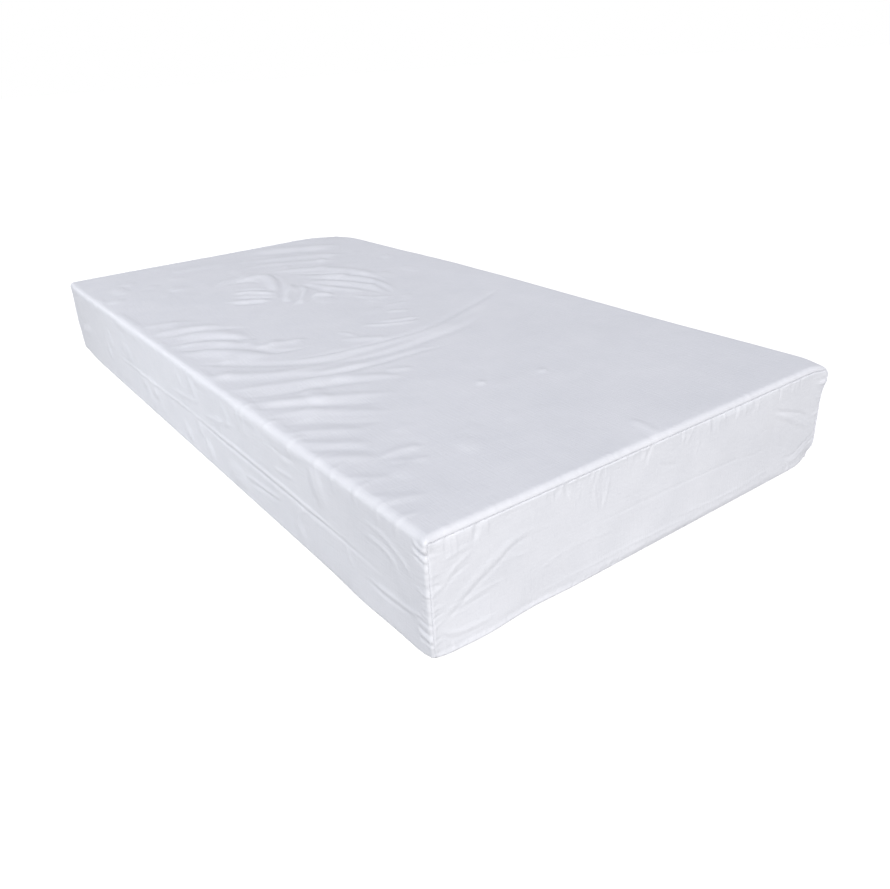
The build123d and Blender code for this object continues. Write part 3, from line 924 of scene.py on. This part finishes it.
def stitches(name, points, outward, stitch, material):
    """A row of sewn stitches along a line of points: short bent bars of thread."""
    length, gap = stitch
    step = np.linalg.norm(np.diff(points, axis=0), axis=1)
    travelled = np.concatenate([[0], np.cumsum(step)])
    starts = np.arange(gap, travelled[-1] - length, length + gap)
    shares = np.linspace(0, 1, 5)
    lift = np.array([-0.35, 0.15, 0.28, 0.15, -0.35]) * MM
    thick = np.array([0.16, 0.34, 0.38, 0.34, 0.16]) * MM
    at = starts[:, None] + length * shares[None, :]
    line = np.stack([np.interp(at, travelled, points[:, k]) for k in range(3)], -1)
    up = np.stack([np.interp(at, travelled, outward[:, k]) for k in range(3)], -1)
    up = unit(up)
    side = np.cross(unit(np.gradient(line, axis=1)), up)
    bars = rings(line + up * lift[:, None], side, up, thick[:, None, None])
    one = grid_faces(*bars.shape[1:3], closed=True)
    first = np.arange(len(starts)) * bars.shape[1] * bars.shape[2]
    faces = (one[None] + first[:, None, None]).reshape(-1, 4)
    piece = piece_from(name, bars.reshape(-1, 3), faces)
    finish_piece(piece, material=material)


def all_stitches(wrap, material):
    """Thread in the end seams and beside the zip's opening."""
    for name, end in (("thread_foot_seam", -1), ("thread_head_seam", 1)):
        a = spaced(-ACROSS + 3 * MM, ACROSS - 3 * MM, 2 * MM)
        point, _ = wrap.at(a, np.full_like(a, 3.0 * end))
        around = np.clip((np.abs(a) - FLAT) / ROLL, 0, math.pi / 2)
        outward = np.stack([np.sign(a) * np.sin(around), np.full_like(a, end), np.cos(around)], -1)
        stitches(name, point + 0.9 * MM * outward, outward, END_STITCH, material)
    y = spaced(-ZIP_SLOT_END, ZIP_SLOT_END, 4 * MM)
    for name, side in (("thread_zip_upper", -1), ("thread_zip_lower", 1)):
        a = np.full_like(y, side_a(ZIP_Z) + side * (ZIP_SLOT_HALF + 3 * MM))
        point, normal = wrap.at(a, y / STRAIGHT)
        stitches(name, point + 0.1 * MM * normal, normal, ZIP_STITCH, material)


# ---------------------------------------------------------------- the zip


def zip_tapes(material):
    """The two woven tapes, each with a thicker cord edge beside its coil."""
    rows = (("zip_tape_top", "zip_tape_upper", 1), ("zip_tape_bottom", "zip_tape_lower", -1))
    for name, node, side in rows:
        low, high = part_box(node)
        width = high.z - low.z
        edge = low.z if side > 0 else high.z
        y = spaced(low.y, high.y, 8 * MM)
        w = np.array([0, 0.02, 0.06, 0.1, 0.16, 0.24, 0.4, 0.6, 0.8, 0.97, 1]) * width
        grid_y, grid_w = np.meshgrid(y, w)
        wave = 0.12 * MM * noise(grid_y, grid_w, 24 * MM, 101) * smooth(4 * MM, 9 * MM, grid_w)
        x = high.x - 0.35 * MM + wave + 0.2 * MM * smooth(3 * MM, 1 * MM, grid_w)
        point = np.stack([x, grid_y, edge + side * grid_w], -1)
        piece = grid_piece(name, point, np.stack([grid_y, grid_w], -1), flip=side < 0)
        finish_piece(piece, node, material)


def zip_coils(material):
    """The two rows of coil teeth, each one long wound filament."""
    pitch, wire = 2.0 * MM, 0.36 * MM
    rows = (("zip_coil_top", "zip_coil_upper", 1), ("zip_coil_bottom", "zip_coil_lower", -1))
    for name, node, side in rows:
        low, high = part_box(node)
        turns = int((high.y - low.y) / pitch)
        angle = np.linspace(0, turns * 2 * math.pi, turns * 10 + 1)
        inner, outer = COIL_GAP, max(abs(low.z - ZIP_Z), abs(high.z - ZIP_Z))
        middle = ZIP_Z + side * (inner + outer) / 2
        half_z, half_x = (outer - inner) / 2 - wire, (high.x - low.x) / 2 - wire
        y = low.y + pitch * angle / (2 * math.pi)
        x = (low.x + high.x) / 2 + half_x * np.sin(angle)
        z = middle - side * half_z * np.cos(angle)
        line = np.stack([x, y, z], -1)
        away = np.stack([np.sin(angle) * half_z, 0 * angle, -side * np.cos(angle) * half_x], -1)
        away = unit(away)
        across = np.cross(unit(np.gradient(line, axis=0)), away)
        piece = grid_piece(name, rings(line, away, across, wire), closed=True)
        finish_piece(piece, node, material)


def zip_patches(material, thread):
    """The two stitched patches over the zip's ends."""
    low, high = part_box("zip_end_patches")
    half_height, length = (high.z - low.z) / 2, PATCH_LENGTH
    points, faces, count = [], [], 0
    for end in (-1, 1):
        y = np.linspace(high.y - length, high.y, 13) * end
        z = np.linspace(-half_height, half_height, 19)
        grid_y, grid_z = np.meshgrid(y, z)
        edge = np.minimum(length / 2 - np.abs(np.abs(grid_y) - high.y + length / 2),
                          half_height - np.abs(grid_z))
        over_coil = np.exp(-((grid_z / (5 * MM)) ** 4)) * smooth(high.y, high.y - length, np.abs(grid_y))
        x = high.x - 0.2 * MM + 1.1 * MM * over_coil - 0.5 * MM * (1 - smooth(0, 1.8 * MM, edge))
        x += 0.25 * MM * noise(grid_y, grid_z, 9 * MM, 111)
        grid = np.stack([x, grid_y, ZIP_Z + grid_z], -1)
        quads = grid_faces(*grid.shape[:2])
        if end < 0:
            quads = quads[:, ::-1]
        points.append(grid.reshape(-1, 3))
        faces.append(quads + count)
        count += grid.shape[0] * grid.shape[1]
        border = np.array([(length / 2 + s * (length / 2 - 2.5 * MM), t * (half_height - 2.5 * MM))
                           for s, t in ((-1, -1), (1, -1), (1, 1), (-1, 1), (-1, -1))])
        path = np.stack([np.full(5, high.x + 0.15 * MM), end * (high.y - length + border[:, 0]),
                         ZIP_Z + border[:, 1]], -1)
        outward = np.tile([1.0, 0, 0], (5, 1))
        name = "thread_patch_foot" if end < 0 else "thread_patch_head"
        stitches(name, path, outward, PATCH_STITCH, thread)
    piece = piece_from("zip_patches", np.vstack(points), np.vstack(faces))
    finish_piece(piece, "zip_end_patches", material)


def zip_guard(material):
    """The strip of cover fabric behind the zip."""
    low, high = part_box("zip_guard_strip")
    y = spaced(low.y, high.y, 12 * MM)
    z = spaced(low.z, high.z, 5 * MM)
    grid_y, grid_z = np.meshgrid(y, z)
    x = low.x + 0.5 * MM + 0.3 * MM * noise(grid_y, grid_z, 30 * MM, 121)
    across = np.ones((1, len(y)))
    ledge = np.stack([across * (TAPE_HIGH.x - 0.8 * MM), y[None], across * high.z], -1)
    point = np.vstack([np.stack([x, grid_y, grid_z], -1), ledge])
    piece = grid_piece("zip_guard", point)
    finish_piece(piece, "zip_guard_strip", material)


# ---------------------------------------------------------------- inside the cover


def fire_sleeve(material):
    """The knitted sleeve round the foam: a tube with closed ends that follows the cover just
    inside it, with a slit along its underside where the foam goes in."""
    a = spaced(-ACROSS, ACROSS, 14 * MM)
    straight = 1 - 6 * MM / HALF_LENGTH
    r = np.concatenate([[-3, -2, -1.5], spaced(-straight, straight, 0.014), [1.5, 2, 3]])
    grid_a, grid_r = np.meshgrid(a, r)
    point, normal, _ = wrap_form(grid_a, grid_r)
    slack = 0.4 * MM * noise(grid_a, point[..., 1], 60 * MM, 131)
    shell = point - (SLEEVE_UNDER + np.abs(slack))[..., None] * normal
    shell[..., 1] = np.clip(shell[..., 1], SLEEVE_UNDER - HALF_LENGTH, HALF_LENGTH - SLEEVE_UNDER)
    across = places(0.004, (0.498, 0.016), (0.502, 0.004), (0.996, 0.016))
    start, end = shell[:, -1], shell[:, 0]
    floor = np.stack([start + (end - start) * s for s in across], 1)
    ring = np.concatenate([shell, floor], axis=1)
    ring[:, len(a):, 2] = SLEEVE_FLOOR
    rows, columns = ring.shape[:2]
    quads = grid_faces(rows, columns, closed=True).reshape(rows - 1, columns, 4)
    slit = np.zeros((rows - 1, columns), bool)
    middle = len(a) + int(np.searchsorted(across, 0.4985)) - 1
    slit[:, middle] = np.abs(ring[:-1, 0, 1]) < SLIT_HALF
    piece = piece_from("knit_sleeve", shaped(ring).reshape(-1, 3), quads[~slit])
    shape = bmesh.new()
    shape.from_mesh(piece.data)
    ends = [e for e in shape.edges if e.is_boundary and abs(e.verts[0].co.y) > 0.9]
    caps = bmesh.ops.holes_fill(shape, edges=ends, sides=0)["faces"]
    bmesh.ops.triangulate(shape, faces=caps)
    bmesh.ops.recalc_face_normals(shape, faces=shape.faces)
    for face in shape.faces:
        face.smooth = True
    shape.to_mesh(piece.data)
    shape.free()
    finish_piece(piece, "fire_sleeve", material)


def smaller(mesh, by):
    """Draws a mesh in towards its middle by a fixed distance on every side."""
    co = coordinates(mesh)
    low, high = co.min(0), co.max(0)
    middle, half = (low + high) / 2, (high - low) / 2
    move_points(mesh, middle + (co - middle) * (1 - by / half))


def foam_block(name, node, material, voxel=None):
    """A foam block from its CAD form. A plain one is remeshed in cells of `voxel` and made a
    little uneven. One with cuts keeps them and gets eased edges."""
    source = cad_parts[node]
    mesh = source.data.copy()
    mesh.name = name
    smaller(mesh, FOAM_SHRINK)
    obj = in_scene(name, mesh)
    bpy.context.view_layer.objects.active = obj
    set_all(obj.modifiers.new("weld", "WELD"), merge_threshold=0.05 * MM)
    if voxel:
        set_all(obj.modifiers.new("remesh", "REMESH"), mode="VOXEL", voxel_size=voxel)
        set_all(obj.modifiers.new("soften", "SMOOTH"), iterations=3)
    else:
        set_all(obj.modifiers.new("ease", "BEVEL"), limit_method="ANGLE", angle_limit=math.radians(50),
                width=1.2 * MM, segments=2)
    shape = obj.evaluated_get(bpy.context.evaluated_depsgraph_get())
    made = bpy.data.meshes.new_from_object(shape)
    obj.modifiers.clear()
    obj.data = made
    co = shaped(coordinates(made))
    if voxel:
        uneven = (noise(co[:, 0] + co[:, 2], co[:, 1], 0.06, 141)
                  + noise(co[:, 0], co[:, 1] + co[:, 2], 0.02, 142))
        co[:, 2] += 0.35 * MM * uneven
        made.polygons.foreach_set("use_smooth", [True] * len(made.polygons))
    move_points(made, co)
    finish_piece(obj, node, material)


def foam_core():
    """The foam core's layers, rails and castellated zones."""
    visco = foam_material("visco_foam_open", (0.86, 0.80, 0.58), 900)
    zone = foam_material("zone_foam_open", (0.42, 0.56, 0.72), 700)
    rail = foam_material("rail_foam_firm", (0.66, 0.67, 0.70), 1100)
    slab = foam_material("base_foam_firm", (0.52, 0.62, 0.54), 800)
    foam_block("visco_foam_layer", "visco_top_layer", visco, 9 * MM)
    foam_block("rail_foam_left", "side_rail_left", rail, 7 * MM)
    foam_block("rail_foam_right", "side_rail_right", rail, 7 * MM)
    foam_block("base_foam_block", "base_foam_slab", slab)
    for zone_name in ("head", "torso", "leg", "heel"):
        foam_block(f"{zone_name}_foam_zone", f"{zone_name}_zone_foam", zone)


# ---------------------------------------------------------------- materials


MIX_FROM, MIX_TO, MIX_RESULT = 6, 7, 2  # a mix node's colour sockets


def add_node(tree, kind, links=None, settings=None, **values):
    """A node with the sockets that feed it, its own settings and its inputs' values."""
    made = tree.nodes.new(kind)
    set_all(made, **(settings or {}))
    for key, value in values.items():
        made.inputs[key.replace("_", " ")].default_value = value
    for key, source in (links or {}).items():
        tree.links.new(source, made.inputs[key])
    return made


def ramp(tree, source, *stops):
    """A colour ramp of two stops, each a place and a colour."""
    made = add_node(tree, "ShaderNodeValToRGB", {"Fac": source})
    for element, (place, colour) in zip(made.color_ramp.elements, stops):
        element.position = place
        element.color = (*colour, 1)
    return made.outputs["Color"]


class Shading:
    """A material with short ways to add and join its nodes."""

    def __init__(self, name):
        self.material = bpy.data.materials.new(name)
        self.material.use_nodes = True
        self.tree = self.material.node_tree
        self.shader = self.tree.nodes["Principled BSDF"]
        self.place = self.tree.nodes.new("ShaderNodeTexCoord")

    def node(self, kind, links=None, settings=None, **values):
        """A node of this material."""
        return add_node(self.tree, kind, links, settings, **values)

    def math(self, operation, *sources):
        """Two sockets joined by an operation."""
        return self.node("ShaderNodeMath", dict(enumerate(sources)), {"operation": operation}).outputs[0]

    def mixed(self, factor, *colours):
        """Colours the shader between two colours, each a socket or three values."""
        blend = self.node("ShaderNodeMix", {"Factor": factor}, {"data_type": "RGBA"})
        for key, colour in zip((MIX_FROM, MIX_TO), colours):
            if isinstance(colour, tuple):
                blend.inputs[key].default_value = (*colour, 1)
            else:
                self.tree.links.new(colour, blend.inputs[key])
        self.link(blend.outputs[MIX_RESULT], "Base Color")

    def texture(self, kind, where="Object", settings=None, **values):
        """The height of a texture laid over the piece."""
        links = {"Vector": self.place.outputs[where]}
        made = self.node("ShaderNodeTex" + kind, links, settings, **values)
        return made.outputs["Distance" if kind == "Voronoi" else "Fac"]

    def link(self, source, socket):
        """Feeds a shader input."""
        self.tree.links.new(source, self.shader.inputs[socket])

    def constants(self, **values):
        """Values the same all over, on the shader's own sockets."""
        for key, value in values.items():
            self.shader.inputs[key.replace("_", " ")].default_value = value

    def speckle(self, scale, low, high, **values):
        """Colours the shader between two colours by noise. Returns the noise and the colour."""
        grain = self.texture("Noise", Scale=scale, **values)
        colour = ramp(self.tree, grain, (0.32, low), (0.68, high))
        self.link(colour, "Base Color")
        return grain, colour

    def bumps(self, *layers):
        """Bump layers, each (height socket, strength, distance), coarse to fine."""
        normal = None
        for height, strength, distance in layers:
            links = {"Height": height}
            if normal:
                links["Normal"] = normal
            normal = self.node("ShaderNodeBump", links, Strength=strength, Distance=distance).outputs[0]
        self.link(normal, "Normal")

    def varied(self, source, socket, low, high):
        """A shader input driven by a texture between two values."""
        spread = self.node("ShaderNodeMapRange", {"Value": source},
                           From_Min=0.3, From_Max=0.7, To_Min=low, To_Max=high)
        self.link(spread.outputs["Result"], socket)


def weave_height(shading, scale):
    """Two crossed sets of ridges, as of a plain weave."""
    ridges = [shading.texture("Wave", "UV", {"bands_direction": way}, Scale=scale) for way in "XY"]
    return shading.math("ADD", *ridges)


def slubs(shading, ways):
    """Uneven threads: noise stretched one way over the fabric, then the other."""
    found = []
    for stretch in ways:
        place = shading.node("ShaderNodeMapping", {"Vector": shading.place.outputs["UV"]})
        place.inputs["Scale"].default_value = stretch
        found.append(shading.node("ShaderNodeTexNoise", {"Vector": place.outputs["Vector"]},
                                  Scale=1.0, Detail=3.0, Roughness=0.6).outputs["Fac"])
    return shading.math("ADD", *found)


def cover_fabric(name, dark, light, roughness):
    """Satin coated fabric: a fine weave, uneven threads, fine creases and a faint mottle."""
    s = Shading(name)
    s.speckle(7.0, dark, light, Detail=8.0, Roughness=0.65)
    crumple = s.texture("Noise", Scale=42.0, Detail=7.0, Roughness=0.62, Distortion=0.9)
    ridged = {"noise_type": "RIDGED_MULTIFRACTAL", "normalize": True}
    creases = s.texture("Noise", "Object", ridged, Scale=11.0, Detail=6.0, Roughness=0.6, Distortion=0.5)
    threads = slubs(s, ((24, 200, 1), (200, 24, 1)))
    s.varied(crumple, "Roughness", roughness - 0.05, roughness + 0.08)
    s.bumps((creases, 0.36, 1.5 * MM), (crumple, 0.35, 1.3 * MM),
            (threads, 0.8, 0.7 * MM), (weave_height(s, 260.0), 0.2, 0.1 * MM))
    s.constants(Sheen_Weight=0.12, Sheen_Roughness=0.4, Specular_IOR_Level=0.45)
    return s.material


def woven_tape(name, dark, light):
    """Matt woven tape with a visible twill."""
    s = Shading(name)
    s.speckle(160.0, dark, light, Detail=4.0)
    twill = s.texture("Wave", "Object", {"bands_direction": "DIAGONAL"}, Scale=420.0, Distortion=0.6)
    s.bumps((twill, 0.5, 0.15 * MM))
    s.varied(twill, "Roughness", 0.7, 0.85)
    s.constants(Sheen_Weight=0.2)
    return s.material


def thread_material():
    """White polyester thread with its twist."""
    s = Shading("thread_white")
    s.speckle(300.0, (0.70, 0.71, 0.75), (0.80, 0.81, 0.85), Detail=3.0)
    twist = s.texture("Wave", "Object", {"bands_direction": "DIAGONAL"}, Scale=900.0)
    s.bumps((twist, 0.6, 0.1 * MM))
    s.varied(twist, "Roughness", 0.45, 0.6)
    return s.material


def nylon_coil():
    """Satin nylon filament, slightly see-through white."""
    s = Shading("nylon_white")
    grain, _ = s.speckle(240.0, (0.74, 0.745, 0.77), (0.84, 0.845, 0.87), Detail=3.0)
    s.bumps((grain, 0.2, 0.05 * MM))
    s.varied(grain, "Roughness", 0.28, 0.4)
    s.constants(Subsurface_Weight=0.05, Subsurface_Scale=0.002)
    return s.material


def enamel():
    """White enamel on die-cast zinc, with a faint orange peel and worn, greyer edges."""
    s = Shading("enamel_white")
    grain, colour = s.speckle(90.0, (0.72, 0.725, 0.745), (0.82, 0.825, 0.84), Detail=6.0)
    edge = s.node("ShaderNodeNewGeometry")
    worn = s.node("ShaderNodeMapRange", {"Value": edge.outputs["Pointiness"]},
                  From_Min=0.52, From_Max=0.60)
    s.mixed(worn.outputs["Result"], colour, (0.50, 0.50, 0.52))
    s.bumps((grain, 0.25, 0.08 * MM))
    s.varied(grain, "Roughness", 0.2, 0.34)
    s.constants(Coat_Weight=0.35, Coat_Roughness=0.12)
    return s.material


def knit_material():
    """Cream fire-barrier knit with rows of loops."""
    s = Shading("knit_cream")
    s.speckle(60.0, (0.76, 0.74, 0.66), (0.86, 0.84, 0.77), Detail=5.0)
    loops = s.texture("Wave", "Object", {"bands_direction": "X"}, Scale=160.0, Distortion=1.5)
    courses = s.texture("Wave", "Object", {"bands_direction": "Y"}, Scale=110.0, Distortion=1.0)
    s.bumps((s.math("MULTIPLY", loops, courses), 0.7, 0.5 * MM))
    s.varied(loops, "Roughness", 0.85, 0.95)
    s.constants(Sheen_Weight=0.3)
    return s.material


def foam_material(name, colour, cells):
    """Open-cell foam: tiny pits, painted darker as the shade in them, over a slightly mottled colour."""
    s = Shading(name)
    dark = tuple(0.88 * c for c in colour)
    _, mottle = s.speckle(22.0, dark, colour, Detail=6.0)
    pits_and_shade = s.texture("Voronoi", Scale=float(cells))
    # painted shade: each pit is coloured darker towards its middle, as the shade inside the cell
    s.mixed(pits_and_shade, tuple(0.72 * c for c in colour), mottle)
    s.bumps((pits_and_shade, 0.6, 0.6 * MM))
    s.varied(pits_and_shade, "Roughness", 0.85, 0.98)
    s.constants(Sheen_Weight=0.15)
    return s.material


# ---------------------------------------------------------------- floor, lights, camera

SKY_LOW = (0.55, 0.558, 0.588)  # the surround's light near the horizon
SKY_HIGH = (0.287, 0.30, 0.352)  # and overhead
KEY_AZIMUTH, KEY_HEIGHT = 62, 47  # in degrees
KEY_STRENGTH = 1.75
KEY_COLOUR = (1.0, 0.985, 0.955)
CAMERA_PLACE = (-1.0069, -1.7895, 0.8214)
CAMERA_TURN = (34.97, 26.02, -3.33)  # yaw, pitch down and roll, in degrees
CAMERA_LENS = 32.42  # in millimetres, on a 36 mm sensor


def pale_floor():
    """A plain pale floor, wide enough for every view."""
    s = Shading("floor_pale")
    s.constants(Base_Color=(0.35, 0.35, 0.35, 1), Roughness=0.9, Specular_IOR_Level=0.0,
                Emission_Color=(1, 1, 1, 1))
    path = s.node("ShaderNodeLightPath")
    glow = s.node("ShaderNodeMath", {0: path.outputs["Is Camera Ray"]}, {"operation": "MULTIPLY_ADD"})
    glow.inputs[1].default_value = 0.8
    glow.inputs[2].default_value = 0.11
    s.link(glow.outputs[0], "Emission Strength")
    reach = 40
    floor = piece_from("floor", [(-reach, -reach, 0), (reach, -reach, 0), (reach, reach, 0),
                                 (-reach, reach, 0)], [(0, 1, 2, 3)])
    floor.data.materials.append(s.material)
    floor.location.z = -0.5 * MM


def soft_light(name, place, target, size, power, colour=(1, 1, 1)):
    """A large soft light that faces a point."""
    data = bpy.data.lights.new(name, "AREA")
    set_all(data, shape="RECTANGLE", size=size[0], size_y=size[1], energy=power, color=colour)
    light = in_scene(name, data)
    light.location = place
    aim = Vector(target) - Vector(place)
    light.rotation_euler = aim.to_track_quat("-Z", "Y").to_euler()


def sun(name, azimuth, height, strength):
    """A wide soft key light from the near left. Azimuth is from -X towards -Y, in degrees."""
    data = bpy.data.lights.new(name, "SUN")
    set_all(data, angle=math.radians(20), energy=strength, color=KEY_COLOUR)
    light = in_scene(name, data)
    turn, rise = math.radians(azimuth), math.radians(height)
    towards = Vector((-math.cos(rise) * math.cos(turn), -math.cos(rise) * math.sin(turn), math.sin(rise)))
    light.rotation_euler = towards.to_track_quat("Z", "Y").to_euler()


def studio():
    """A bright plain surround, dimmer overhead, with a soft key, a window behind the head end,
    a low lamp at the left and a fill at the foot."""
    world = bpy.data.worlds.new("studio")
    bpy.context.scene.world = world
    world.use_nodes = True
    tree = world.node_tree
    place = add_node(tree, "ShaderNodeTexCoord")
    height = add_node(tree, "ShaderNodeSeparateXYZ", {"Vector": place.outputs["Generated"]})
    back = tree.nodes["Background"]
    sky = ramp(tree, height.outputs["Z"], (0.12, SKY_LOW), (0.9, SKY_HIGH))
    tree.links.new(sky, back.inputs["Color"])
    back.inputs["Strength"].default_value = 1.0
    plain = add_node(tree, "ShaderNodeBackground", Color=(1, 1, 1, 1))
    path = add_node(tree, "ShaderNodeLightPath")
    mix = add_node(tree, "ShaderNodeMixShader", {"Fac": path.outputs["Is Camera Ray"],
                                                 1: back.outputs["Background"],
                                                 2: plain.outputs["Background"]})
    tree.links.new(mix.outputs["Shader"], tree.nodes["World Output"].inputs["Surface"])
    sun("key", KEY_AZIMUTH, KEY_HEIGHT, KEY_STRENGTH)
    soft_light("window", (-2.4, 5.0, 1.6), (-0.3, 0, 0.15), (2.0, 1.2), 14)
    soft_light("lamp", (-1.9, 0.15, 0.62), (0, 0, 0.2), (1.2, 0.9), 7.6, (0.93, 0.97, 1.0))
    soft_light("fill", (-0.9, -3.0, 0.5), (-0.1, -1, 0.15), (1.5, 0.6), 11.3, (1.0, 0.985, 0.96))


def camera():
    """The camera, above and beyond the near foot corner."""
    yaw, pitch, roll = (math.radians(turn) for turn in CAMERA_TURN)
    forward = Vector((math.sin(yaw) * math.cos(pitch), math.cos(yaw) * math.cos(pitch),
                      -math.sin(pitch)))
    level = Vector((math.cos(yaw), -math.sin(yaw), 0))
    up = level.cross(forward)
    right = level * math.cos(roll) + up * math.sin(roll)
    above = up * math.cos(roll) - level * math.sin(roll)
    data = bpy.data.cameras.new("camera")
    set_all(data, sensor_width=36, lens=CAMERA_LENS)
    made = in_scene("camera", data)
    place = Matrix((right, above, -forward)).transposed().to_4x4()
    place.translation = CAMERA_PLACE
    made.matrix_world = place
    bpy.context.scene.camera = made


# ---------------------------------------------------------------- making it


def metal_parts():
    """The slider, its pull and the stops keep their CAD shape and get an enamel finish."""
    white = enamel()
    for node in ("zip_slider", "zip_pull", "zip_top_stops", "zip_bottom_stop"):
        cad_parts[node].data.materials.clear()
        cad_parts[node].data.materials.append(white)


def main():
    fabric = cover_fabric("cover_white", (0.80, 0.81, 0.855), (0.845, 0.852, 0.895), 0.42)
    base_fabric = cover_fabric("base_white", (0.76, 0.77, 0.81), (0.81, 0.815, 0.855), 0.5)
    binding = woven_tape("binding_tape", (0.70, 0.71, 0.76), (0.78, 0.79, 0.84))
    tape = woven_tape("zip_tape_white", (0.74, 0.745, 0.77), (0.82, 0.825, 0.85))
    thread = thread_material()
    wrap = Wrap()
    foot = EndPanel(-1, in_metres(FOOT_FOLDS), 61)
    rng = np.random.default_rng(12)
    head_folds = random_folds(rng, 24, (-0.45, 0.03), (0.45, 0.19), (0.05, 0.25), (0.9, 2.2), 0.6)
    head = EndPanel(1, head_folds, 81)
    cover_wrap(wrap, fabric)
    end_panel_piece("foot_panel", "cover_foot_panel", foot, fabric)
    end_panel_piece("head_panel", "cover_head_panel", head, fabric)
    base_sheet(base_fabric)
    end_seam_tape("foot_seam_binding", "foot_seam_tape", -1, binding)
    end_seam_tape("head_seam_binding", "head_seam_tape", 1, binding)
    base_seam_tape(binding)
    all_stitches(wrap, thread)
    zip_tapes(tape)
    zip_coils(nylon_coil())
    zip_patches(fabric, thread)
    zip_guard(fabric)
    metal_parts()
    fire_sleeve(knit_material())
    foam_core()
    pale_floor()
    studio()
    camera()


bpy.context.scene.view_settings.view_transform = "Standard"
main()
